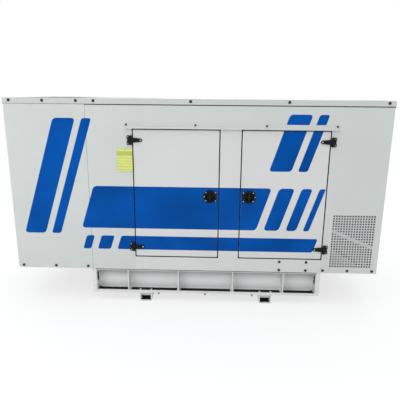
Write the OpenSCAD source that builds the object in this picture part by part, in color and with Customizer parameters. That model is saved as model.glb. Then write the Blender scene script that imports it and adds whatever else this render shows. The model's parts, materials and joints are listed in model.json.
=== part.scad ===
// Standby diesel generator set in a sound-proof canopy on a skid base.
// Millimetres. X runs along the set to the right, the doors face -Y, Z is up.
// The origin is on the ground, under the middle of the canopy.

/* [Canopy] */
// Length of the canopy over its end walls
canopy_l = 3190; // [3100:5:3400]
// Width of the canopy over its side walls
canopy_w = 1100; // [1060:5:1250]
// Height of the canopy on its base
canopy_h = 1490; // [1460:5:1700]
// Thickness of the canopy sheet
sheet_t = 2.5; // [2:0.5:4]
// Thickness of the floor plate
deck_t = 4; // [3:0.5:8]
// Length of the air discharge hood at the left end
hood_l = 675; // [640:5:700]
// Depth of the roof's turned-down flange
roof_flange_h = 45; // [35:1:60]
// Gap between the roof flange and the walls
roof_fit = 0.5; // [0.3:0.1:1]
// Distance from the hood's ends to the discharge opening
grille_margin_x = 80; // [60:1:110]
// Distance from the hood's sides to the discharge opening
grille_margin_y = 110; // [80:1:140]
// Width of the discharge grille's frame
grille_frame = 20; // [14:1:30]
// Height of the discharge grille's bars
grille_bar_h = 25; // [18:1:32]
// Thickness of the discharge grille's bars
grille_bar_t = 4; // [3:0.5:6]
// Number of bars across the discharge grille
grille_bars = 9; // [5:1:14]
// Number of ties along the discharge grille
grille_ties = 3; // [1:1:4]

/* [Doors] */
// Place of the door pair from the canopy's middle
door_pair_x = 285; // [270:1:300]
// Width of each door opening
door_open_w = 730; // [700:2:750]
// Height of each door opening
door_open_h = 1122; // [1060:2:1160]
// Height of the sill under the doors
door_sill_h = 125; // [110:1:140]
// Width of the post between the doors
door_post_w = 178; // [150:1:200]
// Gap round each door
door_gap = 7; // [6:0.5:10]
// Radius of the doors' corners
door_r = 8; // [4:1:14]
// Depth of the folded door tray
door_depth = 32; // [30:1:40]
// Thickness of the rubber door seal
seal_t = 10; // [8:0.5:14]
// Width of the rubber door seal
seal_w = 16; // [10:1:18]
// Play between the shut door and its seal
seal_play = 0.5; // [0.3:0.1:1]
// Play between the seal and its flange
seal_seat = 0.2; // [0.1:0.1:0.5]
// Width of the stop flange behind each door
stop_w = 25; // [22:1:32]
// Thickness of the foam lining in each door
lining_t = 25; // [18:1:27]
// Play round the foam lining
lining_play = 1; // [0.5:0.5:3]

/* [Hinges] */
// Distance of the hinges from the ends of the opening
hinge_inset = 93; // [70:1:120]
// Distance of the hinge pin outside the door opening
hinge_side = 11; // [11:0.5:14]
// Distance of the hinge pin in front of the door skin
hinge_out = 11; // [11:0.5:14]
// Height of the fixed hinge leaf
hinge_leaf_h = 78; // [70:1:90]
// Width of the fixed hinge leaf beside the barrel
hinge_leaf_w = 25; // [20:1:35]
// Radius of the fixed hinge leaf's corners
hinge_leaf_r = 8; // [3:0.5:10]
// Depth of the waist in the hinges' fixed leaf
hinge_waist = 5; // [2:0.5:7]
// Gap between the fixed hinge leaf and the moving barrel
hinge_leaf_gap = 1; // [0.5:0.5:2]
// Gap between the hinge arm and the canopy skin
hinge_arm_gap = 2; // [1.5:0.5:3]
// Distance of the hinge arm's pad from the door's edge
hinge_pad_in = 6; // [3:1:12]
// Height of the rib along the hinge arm
hinge_rib_t = 3; // [2:0.5:5]
// Length of the hinge arm from the pin to its tip
hinge_arm_l = 93; // [80:1:110]
// Height of the hinge arm at the barrel
hinge_arm_h = 44; // [36:1:50]
// Radius of the hinge arm's round tip
hinge_tip_r = 14; // [10:1:18]
// Thickness of the hinge leaf and arm
hinge_t = 6; // [4:0.5:7]
// Radius of the hinge pin
hinge_pin_r = 5; // [4:0.5:6]
// Radius of the hinge barrel
hinge_barrel_r = 9; // [8:0.5:9.5]
// Running clearance of the hinge pin
hinge_clear = 0.1; // [0.05:0.05:0.3]
// Play between the knuckles of a hinge
knuckle_play = 0.5; // [0.3:0.1:1]

/* [Latches] */
// Radius of the latch flange
latch_r = 57; // [52:1:62]
// Height of the latch flange's straight side
latch_flat_h = 88; // [70:2:100]
// Distance from the door's free edge to the latch
latch_edge = 14; // [10:1:25]
// Height of the latch above the canopy's lower edge
latch_z = 681; // [600:1:760]
// Thickness of the latch flange
latch_flange_t = 5; // [3:0.5:7]
// Radius of the latch dish behind the door skin
latch_dish_r = 44; // [40:1:47]
// Depth of the latch dish behind the door skin
latch_dish_d = 28; // [24:1:30]
// Wall of the latch dish
latch_wall = 4; // [3:0.5:6]
// Gap between the latch dish and its hole in the door
latch_fit = 0.5; // [0.3:0.1:1]
// Width of the latch's handle
latch_handle_w = 16; // [12:1:22]
// Radius of the latch's hub
latch_hub_r = 13; // [10:1:16]
// Length of the latch's cam behind the door
latch_cam_l = 52; // [40:1:60]

/* [Drip rail] */
// Height of the drip rail over the doors
rail_h = 42; // [34:1:60]
// Reach of the drip rail's lip
rail_lip = 20; // [12:1:28]
// Overhang of the drip rail beyond the doors
rail_over = 57; // [40:1:70]
// Gap between the door opening and the drip rail
rail_gap = 3; // [2:0.5:6]
// Height of the drip rail's turned-down edge
rail_edge = 6; // [4:0.5:8]
// Height of the drip rail's sloping face
rail_slope = 16; // [12:1:18]

/* [Air inlet] */
// Columns of inlet holes
vent_cols = 16; // [8:1:17]
// Rows of inlet holes
vent_rows = 21; // [10:1:24]
// Pitch of the inlet holes
vent_pitch = 23; // [18:0.5:24]
// Side of each square inlet hole
vent_hole = 14.5; // [8:0.5:16]
// Distance of the inlet's middle from the end
vent_end = 237; // [225:1:245]
// Least distance from the door opening to an inlet hole
vent_side = 50; // [40:1:54]
// Height of the inlet's middle above the deck
vent_z = 295; // [290:1:330]
// Fall of the inlet baffles along the inlet
baffle_drop = 205; // [150:5:240]
// Depth of the inlet baffles into the canopy
baffle_depth = 120; // [80:5:150]
// Width of the baffles' front flange
baffle_flange = 30; // [20:1:40]
// Gap between the baffles and the perforated sheet
baffle_gap = 6; // [4:0.5:10]
// Height of the upper baffle above the inlet's middle
baffle_rise = 140; // [90:5:160]
// Height of the foam baffle above the inlet's middle
foam_rise = 18; // [0:1:30]
// Fall of the foam baffle along the inlet
foam_fall = 278; // [240:1:290]
// Length of the foam baffle along the inlet
foam_run = 420; // [380:5:440]
// Thickness of the foam baffle
foam_t = 10; // [6:1:16]
// Thickness of the inlet's felt
felt_t = 10; // [6:1:20]
// Set-back of the splitter
splitter_gap = 160; // [150:5:200]
// Height of the inlet splitter
splitter_h = 560; // [500:10:640]
// Width of the inlet splitter's upper flange
splitter_flange = 25; // [15:1:30]

/* [Base] */
// Length of the skid base
base_l = 2046; // [1960:2:2060]
// Place of the base's middle from the canopy's
base_x = 88; // [60:1:110]
// Height of the skid base
base_h = 231; // [200:1:260]
// Set-back of the base behind the canopy skin
base_inset = 12; // [5:1:25]
// Depth of the open bays along the base
bay_depth = 100; // [90:1:120]
// Thickness of the base plate
plate_t = 6; // [5:0.5:8]
// Height of the lower lip along the base
lower_lip = 22; // [16:1:30]
// Height of the upper lip along the base
upper_lip = 18; // [12:1:24]
// Width of the lower flange in front of its slots
slot_front = 40; // [30:1:50]
// Thickness of the ribs and end channels
rib_t = 8; // [6:0.5:12]
// Distance of the inner ribs from the middle of the base
rib_inner = 245; // [200:5:260]
// Distance of the outer ribs from the middle of the base
rib_outer = 700; // [680:5:720]
// Width of each lifting slot
lift_w = 30; // [24:1:40]
// Height of each lifting slot
lift_h = 76; // [60:1:90]
// Drop of the lifting slots below the base's top
lift_drop = 96; // [80:1:110]
// Width of the channels at the ends of the base
end_lip = 36; // [24:1:44]
// Height of the gussets over the feet
gusset_h = 30; // [20:1:40]
// Depth of the gussets over the feet
gusset_d = 60; // [50:1:80]
// Height of the fuel tank above the bottom of the base
tank_lift = 14; // [8:1:24]

/* [Feet] */
// Height of the feet
foot_h = 88; // [70:1:120]
// Width of each foot
foot_w = 108; // [100:1:130]
// Depth of each foot
foot_d = 140; // [120:5:200]
// Distance between the feet along the base
foot_pitch = 1088; // [1020:2:1120]
// Wall of the feet
foot_t = 8; // [6:0.5:10]
// Radius of the feet's lower corners
foot_r = 12; // [8:1:16]
// Set-back of the web inside each foot
foot_web_in = 35; // [20:1:60]
// Reach of each foot's top plate
foot_flange = 6; // [4:0.5:10]
// Height of the lower edge of the slot in each foot
foot_slot_low = 10; // [9:0.5:14]
// Height of the slot in each foot
foot_slot_h = 30; // [20:1:40]

/* [Cooling pack] */
// Width of the radiator
radiator_w = 800; // [700:10:860]
// Height of the radiator
radiator_h = 900; // [800:10:980]
// Thickness of the radiator
radiator_t = 90; // [70:5:110]
// Height of the radiator above the floor plate
radiator_lift = 60; // [40:5:90]
// Height of the radiator's tanks
tank_h = 70; // [50:5:90]
// Width of the radiator's side channels
channel_w = 30; // [20:2:40]
// Set-back of the core between the tanks
core_inset = 15; // [8:1:25]
// Lap of the bulkhead over the radiator
bulkhead_lap = 45; // [30:1:60]
// Width of the radiator's feet
radiator_foot_w = 50; // [40:2:70]
// Radius of the radiator's filler neck
neck_r = 28; // [20:1:36]
// Height of the radiator's filler neck
neck_h = 46; // [30:2:60]
// Radius of the cooling fan
fan_r = 290; // [260:5:300]
// Gap between the fan and its shroud
fan_clear = 15; // [10:1:25]
// Length of the shroud round the fan
shroud_l = 60; // [40:2:80]
// Flare of the shroud towards the radiator
shroud_flare = 45; // [20:1:50]
// Thickness of the shroud
shroud_t = 3; // [2:0.5:5]
// Distance from the radiator to the middle of the fan
fan_set = 30; // [28:1:36]
// Distance from the radiator to the engine
fan_room = 110; // [105:1:140]
// Height of the fan above the crankshaft
fan_h = 180; // [150:5:200]
// Number of cooling fan blades
fan_blades = 8; // [6:1:10]
// Pitch angle of the fan blades
blade_pitch = 35; // [25:1:40]
// Width of a fan blade at its tip
blade_w = 100; // [70:1:105]
// Width of a fan blade at its root
blade_root_w = 66; // [50:1:80]
// Thickness of a fan blade
blade_t = 4; // [3:0.5:6]
// Radius of the fan's hub
fan_hub_r = 80; // [60:2:100]
// Length of the fan's hub
fan_hub_l = 36; // [24:1:40]
// Radius of the fan's shaft
fan_shaft_r = 30; // [20:1:40]
// Radius of the fan's belt pulley
fan_pulley_r = 62; // [50:1:75]

/* [Engine] */
// Number of cylinders
cylinders = 4; // [3:1:6]
// Height of the crankshaft above the floor plate
crank_h = 386; // [376:1:410]
// Length of the engine block
block_l = 660; // [620:5:680]
// Width of the crankcase
case_w = 300; // [280:2:320]
// Height of the crankcase walls
case_h = 160; // [140:2:180]
// Depth of the crankcase below the crankshaft
skirt_h = 60; // [50:1:80]
// Rise from the crankcase to the cylinder bank
shoulder_h = 60; // [40:1:80]
// Width of the cylinder bank
bank_w = 230; // [210:2:250]
// Height of the head's face above the crankshaft
bank_h = 300; // [290:2:320]
// Width of the ribs on the cylinder bank
bank_rib_w = 12; // [8:1:16]
// Height of the ribs on the cylinder bank
bank_rib_t = 15; // [10:1:18]
// Radius of the core plugs
plug_r = 24; // [18:1:30]
// Height of the core plugs
plug_t = 6; // [3:0.5:8]
// Distance of the core plugs below the head
plug_drop = 70; // [50:1:90]
// Thickness of the timing cover
timing_t = 25; // [18:1:30]
// Set-back of the timing cover's edge
timing_in = 10; // [6:1:20]
// Radius of the timing cover's corners
timing_r = 40; // [20:1:60]
// Radius of the crank pulley
pulley_r = 90; // [75:1:100]
// Length of the crank pulley
pulley_l = 20; // [16:1:22]
// Depth of the pulleys' belt grooves
groove_d = 7; // [4:0.5:9]
// Reach and thickness of the sump's flange
sump_flange = 12; // [8:1:16]
// Width of the sump
sump_w = 240; // [200:5:260]
// Gap between the sump and the floor plate
sump_clear = 40; // [30:1:60]
// Rise of the shallow end of the sump
sump_step = 90; // [60:5:110]
// Slope and set-back of the sump's ends
sump_in = 20; // [12:1:30]
// Height of the cylinder head
head_h = 100; // [90:1:115]
// Width of the cylinder head
head_w = 240; // [225:1:250]
// Set-back of the head's ends
head_inset = 5; // [3:1:12]
// Height of the rocker cover
cover_h = 75; // [60:1:90]
// Width of the rocker cover
cover_w = 170; // [150:2:180]
// Radius of the rocker cover's upper edges
cover_r = 30; // [15:1:36]
// Set-back of the rocker cover's ends
cover_in = 15; // [8:1:30]
// Width of the ribs over the rocker cover
cover_rib_w = 10; // [6:1:14]
// Height of the ribs over the rocker cover
cover_rib_h = 5; // [3:0.5:8]
// Radius of the oil filler cap
cap_r = 32; // [24:1:40]
// Height of the oil filler cap
cap_h = 28; // [20:1:36]
// Distance of the oil filler cap from the front of the head
cap_in = 120; // [90:5:140]
// Width and height of the ports
port_w = 60; // [50:1:64]
// Radius of the ports' corners
port_r = 14; // [8:1:20]
// Height of the ports' middle above the head's face
port_rise = 55; // [50:1:60]
// Reach of the ports' flanges round the ports
port_lip = 12; // [8:1:16]
// Thickness of the ports' flanges
port_flange_t = 10; // [8:1:14]
// Radius of the intake log
intake_r = 38; // [32:1:44]
// Distance from the head to the intake log
intake_out = 60; // [50:1:70]
// Set-back of the logs' ends
log_in = 50; // [45:1:70]
// Radius of the round edges of logs and canisters
drum_edge = 12; // [6:1:18]
// Radius of the filters
filter_r = 47; // [40:1:52]
// Height of the filters
filter_h = 150; // [130:2:165]
// Distance between the filters
filter_pitch = 130; // [115:1:140]
// Distance from the engine's rear end to the nearer filter
filter_in = 100; // [90:1:120]
// Distance from the cylinder bank to the filters
filter_out = 105; // [95:1:115]
// Height of the filters' head above the crankshaft
filter_rise = 210; // [190:2:225]
// Height of the filters' head
filter_head_h = 36; // [28:1:44]
// Wall of the filters' head round the filters
filter_wall = 6; // [4:0.5:8]
// Radius of the starter motor
starter_r = 45; // [38:1:50]
// Length of the starter motor
starter_l = 190; // [170:5:210]
// Distance from the crankcase to the starter motor
starter_out = 65; // [60:1:75]
// Distance of the starter motor below the crankshaft
starter_drop = 90; // [75:1:100]
// Radius of the starter's solenoid
solenoid_r = 26; // [20:1:30]
// Length of the starter's solenoid
solenoid_l = 130; // [110:5:150]
// Radius of the air cleaner
cleaner_r = 100; // [85:1:105]
// Length of the air cleaner
cleaner_l = 400; // [360:5:430]
// Distance of the air cleaner from the front of the engine
cleaner_in = 110; // [100:1:120]
// Height of the air cleaner above the head's face
cleaner_rise = 300; // [290:2:320]
// Width of the air cleaner's bands
band_w = 24; // [16:1:32]
// Thickness of the air cleaner's bands
band_t = 5; // [3:0.5:6]
// Thickness of the air cleaner's brackets
bracket_plate = 8; // [5:0.5:10]
// Radius of the air hose
hose_r = 32; // [26:1:34]
// Radius of the air hose's bends
hose_bend = 50; // [48:1:60]
// Thickness of the cuff on a bend
cuff_t = 3; // [2:0.5:5]

/* [Exhaust] */
// Distance from the head to the exhaust log
exhaust_out = 45; // [42:1:60]
// Radius of the exhaust pipe
pipe_r = 38; // [32:1:42]
// Radius of the exhaust bend
pipe_bend = 95; // [85:1:110]
// Gap round the exhaust pipe in the bulkhead
pipe_hole = 8; // [5:0.5:12]
// Reach of the pipe flanges
pipe_flange = 25; // [18:1:30]
// Thickness of the pipe flanges
pipe_flange_t = 12; // [8:1:16]
// Distance from the bulkhead to the flange joint
joint_in = 60; // [50:1:80]
// Distance of the silencer below the roof
silencer_drop = 215; // [200:1:240]
// Radius of the silencer
silencer_r = 120; // [100:2:130]
// Length of the silencer
silencer_l = 660; // [600:5:720]
// Radius of the silencer's round ends
silencer_edge = 30; // [15:1:40]
// Distance of the tail pipe from the middle
tail_y = 230; // [200:5:260]
// Gap between the tail pipe and the discharge grille
tail_gap = 15; // [10:1:25]
// Wall of the tail pipe
tail_wall = 4; // [3:0.5:6]
// Distance of the silencer's arms from the middle
arm_y = 200; // [150:5:250]
// Height of the silencer's arms
arm_h = 60; // [40:1:80]
// Thickness of the silencer's arms
arm_t = 8; // [5:0.5:10]

/* [Alternator] */
// Length of the flywheel housing
housing_l = 120; // [105:1:135]
// Radius of the flywheel housing's flange
housing_r = 245; // [235:1:252]
// Radius of the flywheel housing's waist
housing_waist_r = 215; // [200:1:225]
// Thickness of the flywheel housing's flanges
housing_rim = 18; // [12:1:22]
// Reach of the housing's flange over the alternator
housing_lip = 8; // [5:1:12]
// Radius of the alternator frame
alternator_r = 230; // [210:2:240]
// Length of the alternator
alternator_l = 580; // [540:5:600]
// Length of the alternator's end bell
bell_l = 70; // [55:1:90]
// Step from the frame down to the end bell
bell_step = 25; // [15:1:35]
// Number of ribs along the alternator frame
frame_ribs = 24; // [12:1:32]
// Height of the frame's ribs
frame_rib_h = 10; // [6:1:14]
// Width of the frame's ribs
frame_rib_w = 8; // [5:1:12]
// Width of the rings at the frame's ends
frame_ring = 50; // [35:1:70]
// Number of air slots round the end bell
louvres = 16; // [8:1:20]
// Width of each air slot
louvre_w = 28; // [20:1:36]
// Depth of each air slot
louvre_d = 20; // [12:1:30]
// Set-back of the air slots from the bell's ends
louvre_in = 15; // [10:1:20]
// Length of the terminal box
terminal_l = 340; // [300:5:380]
// Width of the terminal box
terminal_w = 330; // [300:5:360]
// Height of the terminal box
terminal_h = 170; // [140:5:200]
// Distance from the flywheel housing to the terminal box
terminal_in = 110; // [90:5:130]
// Height of the pad under the terminal box
pad_h = 15; // [10:1:20]
// Set-back of the pad under the terminal box
pad_in = 20; // [12:1:30]
// Thickness of the terminal box's lid and side covers
lid_t = 4; // [3:0.5:6]
// Reach of the terminal box's lid
lid_over = 6; // [4:0.5:10]
// Margin round the terminal box's side covers
side_cover_in = 25; // [18:1:35]

/* [Set frame] */
// Height of the bearers on the floor plate
bearer_h = 80; // [60:2:90]
// Distance of the bearers from the middle
bearer_y = 230; // [220:1:240]
// Width of the bearers
bearer_w = 50; // [40:1:60]
// Reach of the bearers beyond the set
bearer_over = 20; // [10:1:40]
// Width of the tubes across the bearers
cross_w = 60; // [40:1:80]
// Height of the rubber mounts
mount_h = 45; // [35:1:55]
// Radius of the rubber mounts
mount_r = 30; // [24:1:34]
// Radius of the rubber mounts' plates
mount_plate_r = 38; // [32:1:42]
// Thickness of the rubber mounts' plates
mount_plate_t = 5; // [3:0.5:7]
// Distance of the front mounts from the engine's front end
mount_front = 90; // [70:5:110]
// Distance of the rear mounts from the alternator's end
mount_rear = 100; // [90:5:130]
// Width of the mounting brackets
bracket_w = 80; // [70:2:90]
// Thickness of the mounting brackets
bracket_t = 16; // [12:1:20]
// Reach of the brackets beyond the mounts
bracket_reach = 32; // [28:1:36]
// Distance of the brackets' inner ends from the middle
bracket_inner = 120; // [110:1:130]
// Thickness of the brackets' webs
bracket_web = 20; // [14:1:24]
// Depth of the brackets' webs in what they carry
bracket_bite = 40; // [30:1:50]

/* [Control cabinet] */
// Width of the cabinet
cabinet_w = 430; // [400:5:450]
// Depth of the cabinet
cabinet_d = 200; // [170:5:210]
// Height of the cabinet
cabinet_h = 500; // [450:5:540]
// Distance of the cabinet from the opening
cabinet_side = 50; // [30:1:70]
// Distance from the door's stop flange to the cabinet
cabinet_back = 30; // [28:1:45]
// Drop of the cabinet below the opening's top
cabinet_drop = 153; // [120:1:180]
// Width of the cabinet's leg frames
leg_w = 40; // [30:1:50]
// Width of the bars of the cabinet's leg frames
leg_bar = 36; // [28:1:44]
// Thickness of the cabinet's door
panel_t = 4; // [3:0.5:6]
// Margin round the cabinet's door
panel_in = 15; // [10:1:20]
// Corner radius of the cabinet's door and display
panel_r = 10; // [5:1:14]
// Width of the controller's bezel
bezel_w = 240; // [200:5:260]
// Height of the controller's bezel
bezel_h = 150; // [130:2:170]
// Thickness of the controller's bezel
bezel_t = 8; // [5:0.5:12]
// Distance of the bezel below the top of the cabinet
bezel_drop = 70; // [50:1:90]
// Width of the display in the bezel
screen_w = 130; // [110:2:150]
// Height of the display in the bezel
screen_h = 75; // [60:1:85]
// Depth of the display in the bezel
screen_d = 3; // [2:0.5:4]
// Radius of the push buttons
button_r = 9; // [7:0.5:11]
// Height of the push buttons
button_h = 4; // [3:0.5:6]
// Number of push buttons
buttons = 5; // [3:1:6]
// Radius of the emergency stop's head
stop_head_r = 20; // [16:1:24]
// Height of the emergency stop
stop_head_h = 24; // [18:1:26]
// Distance of the emergency stop below the bezel
stop_head_drop = 60; // [50:1:80]

/* [Battery] */
// Length of the battery
battery_l = 310; // [280:2:314]
// Width of the battery
battery_w = 175; // [160:1:180]
// Height of the battery
battery_h = 200; // [180:2:230]
// Radius of the battery's upright edges
battery_r = 8; // [4:1:12]
// Height of the battery's lid
battery_lid_h = 24; // [16:1:30]
// Reach of the battery's lid
battery_lid_over = 4; // [2:0.5:6]
// Radius of the battery's terminals
terminal_r = 9; // [7:0.5:10]
// Height of the battery's terminals
terminal_post_h = 18; // [14:1:22]
// Set-back of the battery's terminals
terminal_post_in = 40; // [30:1:50]
// Width of the battery's hold-down bar
hold_w = 30; // [20:1:36]
// Radius of the battery's hold-down rods
hold_r = 5; // [4:0.5:7]

/* [Hidden] */
$fn = 48;
// Overlap that joins two shapes of one piece
eps = 0.01;
// Overshoot of a cut beyond the face it opens
over = 1;

// Levels above the ground
base_z = foot_h;
deck_z = foot_h + base_h;
floor_z = deck_z + deck_t;
door_low_z = deck_z + door_sill_h;
door_high_z = door_low_z + door_open_h;
top_z = deck_z + canopy_h;
wall_top_z = top_z - sheet_t;
baffle_z = deck_z + vent_z + baffle_rise;
foam_z = deck_z + vent_z + foam_rise;
splitter_top_z = floor_z + splitter_h;

// Places along the canopy
end_x = canopy_l / 2;
hood_x = hood_l - end_x;
opening_l0 = door_pair_x - door_post_w / 2 - door_open_w;
opening_l1 = door_pair_x - door_post_w / 2;
opening_r0 = door_pair_x + door_post_w / 2;
opening_r1 = door_pair_x + door_post_w / 2 + door_open_w;
vent_x = end_x - vent_end;
inlet_x = opening_r1 + sheet_t;
inlet_run = end_x - sheet_t - inlet_x;

// Places across the canopy, from the middle
skin_y = canopy_w / 2;
inner_y = skin_y - sheet_t;
stop_y = skin_y - door_depth - seal_t;
inlet_y = -inner_y + baffle_gap;
splitter_y = -inner_y + splitter_gap;
base_y = skin_y - base_inset;
web_y = base_y - bay_depth;

// Ends of the skid base
base_x0 = base_x - base_l / 2;
base_x1 = base_x + base_l / 2;
rail_x0 = base_x0 + end_lip;
rail_x1 = base_x1 - end_lip;
rib_places = [-rib_outer, -rib_inner, rib_inner, rib_outer];
foot_places = [-foot_pitch / 2, foot_pitch / 2];

// Engine and alternator, in line
crank_z = floor_z + crank_h;
mount_top_z = floor_z + bearer_h + mount_h;
block_x0 = hood_x + radiator_t + fan_room;
block_x1 = block_x0 + block_l;
housing_x1 = block_x1 + housing_l;
alternator_x1 = housing_x1 + alternator_l;
terminal_x = [housing_x1 + terminal_in, housing_x1 + terminal_in + terminal_l];
mount_places = [block_x0 + mount_front, block_x1 + housing_l / 2, alternator_x1 - mount_rear];
block_low = crank_z - skirt_h;
head_z = crank_z + bank_h;
head_top_z = head_z + head_h;
port_z = head_z + port_rise;

// Radiator and silencer
radiator_z = [floor_z + radiator_lift, floor_z + radiator_lift + radiator_h];
fan_z = crank_z + fan_h;
pipe_y = head_w / 2 + exhaust_out;
pipe_z = wall_top_z - silencer_drop;
joint_x = hood_x - joint_in;
silencer_x = (hood_x - end_x) / 2;

// The control cabinet stands behind the right door
cabinet_x = [opening_r1 - cabinet_side - cabinet_w, opening_r1 - cabinet_side];
cabinet_y = [-stop_y + cabinet_back, -stop_y + cabinet_back + cabinet_d];
cabinet_z = [door_high_z - cabinet_drop - cabinet_h, door_high_z - cabinet_drop];

// Basic shapes

// A range of the given half-width about a middle
function about(middle, half) = [middle - half, middle + half];

// A box from ranges along X, Y and Z
module span(x, y, z)
  translate([x[0], y[0], z[0]]) cube([x[1] - x[0], y[1] - y[0], z[1] - z[0]]);

// The same on the front and, mirrored, on the rear
module both_sides() {
  children();
  mirror([0, 1, 0]) children();
}

// The left door's pieces as the right door has them
module right_hand()
  translate([2 * door_pair_x, 0, 0]) mirror([1, 0, 0]) children();

// A profile drawn in Y and Z, run along X
module along_x(x0, x1)
  translate([x0, 0, 0]) rotate([90, 0, 90]) linear_extrude(x1 - x0) children();

// A profile drawn in X and Z, run along Y
module along_y(y0, y1)
  translate([0, y1, 0]) rotate([90, 0, 0]) linear_extrude(y1 - y0) children();

// A cylinder along X
module rod_x(x0, x1, y, z, r)
  translate([x0, y, z]) rotate([0, 90, 0]) cylinder(r = r, h = x1 - x0);

// A cylinder along Y
module rod_y(y0, y1, x, z, r)
  translate([x, y1, z]) rotate([90, 0, 0]) cylinder(r = r, h = y1 - y0);

// A solid of revolution along X, from its half-section
module revolve_x(x, y, z)
  translate([x, y, z]) rotate([0, 90, 0]) rotate_extrude() children();

// A square that stands on the X axis, centred across it
module square_up(w, h) translate([-w / 2, 0]) square([w, h]);

// A rectangle about the origin with round corners
module rounded(w, h, r) {
  square([w - 2 * r, h], center = true);
  square([w, h - 2 * r], center = true);
  for (x = [-1, 1], y = [-1, 1]) translate([x * (w / 2 - r), y * (h / 2 - r)]) circle(r);
}

// Half-section of a drum with round edges
module drum(r, l, edge) {
  square([r - edge, l]);
  translate([0, edge]) square([r, l - 2 * edge]);
  for (z = [edge, l - edge]) translate([r - edge, z]) circle(edge);
}

// Skid base

module base_rail() {
  difference() {
    along_x(rail_x0, rail_x1) polygon([
      [-base_y, base_z], [-web_y + plate_t, base_z], [-web_y + plate_t, deck_z],
      [-base_y, deck_z], [-base_y, deck_z - upper_lip], [-base_y + plate_t, deck_z - upper_lip],
      [-base_y + plate_t, deck_z - plate_t], [-web_y, deck_z - plate_t], [-web_y, base_z + plate_t],
      [-base_y + plate_t, base_z + plate_t], [-base_y + plate_t, base_z + lower_lip],
      [-base_y, base_z + lower_lip]
    ]);
    // Drain slots in the lower flange, one to each bay
    ends = concat([rail_x0 - base_x], rib_places, [rail_x1 - base_x]);
    for (i = [0 : len(ends) - 2])
      span([base_x + ends[i] + 2 * rib_t, base_x + ends[i + 1] - 2 * rib_t],
           [-base_y + slot_front, -web_y - plate_t], [base_z - over, base_z + plate_t + over]);
  }
}

module front_base_rail() color("gainsboro") base_rail();
module rear_base_rail() color("gainsboro") mirror([0, 1, 0]) base_rail();

// Upright slot for a lifting shackle, with round ends
module lift_slot(x0, x1) {
  y = (base_y + web_y) / 2;
  z = deck_z - lift_drop;
  for (side = [-1, 1]) {
    span([x0, x1], about(side * y, lift_w / 2),
         about(z, (lift_h - lift_w) / 2));
    for (end = [-1, 1]) rod_x(x0, x1, side * y, z + end * (lift_h - lift_w) / 2, lift_w / 2);
  }
}

// Channel across the end of the base, open to the outside, with front plates
module base_end() {
  difference() {
    union() {
      along_y(-base_y, base_y) polygon([
        [base_x0, base_z], [rail_x0, base_z], [rail_x0, deck_z], [base_x0, deck_z],
        [base_x0, deck_z - plate_t], [rail_x0 - rib_t, deck_z - plate_t],
        [rail_x0 - rib_t, base_z + plate_t], [base_x0, base_z + plate_t]
      ]);
      both_sides() span([base_x0, rail_x0], [-base_y, -base_y + plate_t], [base_z, deck_z]);
    }
    lift_slot(rail_x0 - rib_t - over, rail_x0 + over);
  }
}

module left_base_end() color("gainsboro") base_end();
module right_base_end()
  color("gainsboro") translate([2 * base_x, 0, 0]) mirror([1, 0, 0]) base_end();

// Ribs across the open bays, and small gussets over the feet
module base_ribs()
  color("gainsboro") both_sides() {
    for (x = rib_places)
      span(about(base_x + x, rib_t / 2), [-base_y + plate_t, -web_y],
           [base_z + plate_t, deck_z - plate_t]);
    for (x = foot_places, side = [-1, 1])
      translate([base_x + x + side * (foot_w - foot_t) / 2 - foot_t / 2, 0, 0])
        along_x(0, foot_t) polygon([
          [-base_y + plate_t, base_z + plate_t], [-base_y + plate_t + gusset_d, base_z + plate_t],
          [-base_y + plate_t, base_z + plate_t + gusset_h]
        ]);
  }

// Pressed foot: a tray under a top plate, with a slotted web set back in it
module foot() {
  front = -base_y + plate_t;
  inner_w = foot_w - 2 * foot_t;
  tray_h = foot_h - foot_t;
  along_y(front, front + foot_d) difference() {
    union() {
      translate([0, foot_r]) square_up(foot_w, tray_h - foot_r);
      square_up(foot_w - 2 * foot_r, foot_r);
      for (side = [-1, 1]) translate([side * (foot_w / 2 - foot_r), foot_r]) circle(foot_r);
    }
    translate([0, foot_t]) square_up(inner_w, tray_h);
  }
  along_y(front + foot_web_in, front + foot_web_in + foot_t) difference() {
    translate([0, foot_t]) square_up(inner_w, tray_h - foot_t);
    translate([0, foot_slot_low]) square_up(inner_w - foot_t, foot_slot_h);
  }
  difference() {
    span(about(0, foot_w / 2 + foot_flange), [front - foot_flange, front + foot_d + foot_flange],
         [tray_h, foot_h]);
    // Window under the drain slot of the bay
    span(about(0, inner_w / 2), [-base_y + slot_front, -web_y - plate_t], [tray_h - over, foot_h + over]);
  }
}

module base_feet()
  color("gainsboro") both_sides()
    for (x = foot_places) translate([base_x + x, 0, 0]) foot();

module fuel_tank()
  color("lightgray")
    span([rail_x0, rail_x1], [-web_y + plate_t, web_y - plate_t], [base_z + tank_lift, deck_z]);

module floor_deck()
  color("gainsboro")
    span([-end_x + sheet_t, end_x - sheet_t], [-inner_y, inner_y], [deck_z, floor_z]);

// Canopy walls

// A piece of the front skin
module front_sheet(x, z) span(x, [-skin_y, -inner_y], z);

// Return at the side of a door opening, with the stop that the door shuts on
module side_reveal(x) {
  span([x - sheet_t, x], [-inner_y, -stop_y + sheet_t], [door_low_z, door_high_z]);
  span([x, x + stop_w], [-stop_y, -stop_y + sheet_t], [door_low_z, door_high_z]);
}

// The same over an opening, or under it where up is 1
module level_reveal(x, z, up) {
  span([x - sheet_t, x + door_open_w + sheet_t], [-inner_y, -stop_y + sheet_t],
       up > 0 ? [z - sheet_t, z] : [z, z + sheet_t]);
  span([x + stop_w, x + door_open_w - stop_w], [-stop_y, -stop_y + sheet_t],
       up > 0 ? [z, z + stop_w] : [z - stop_w, z]);
}

module hood_panel() front_sheet([-end_x, hood_x], [deck_z, wall_top_z]);

module left_panel() {
  front_sheet([hood_x, opening_l0], [deck_z, wall_top_z]);
  side_reveal(opening_l0);
}

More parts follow.
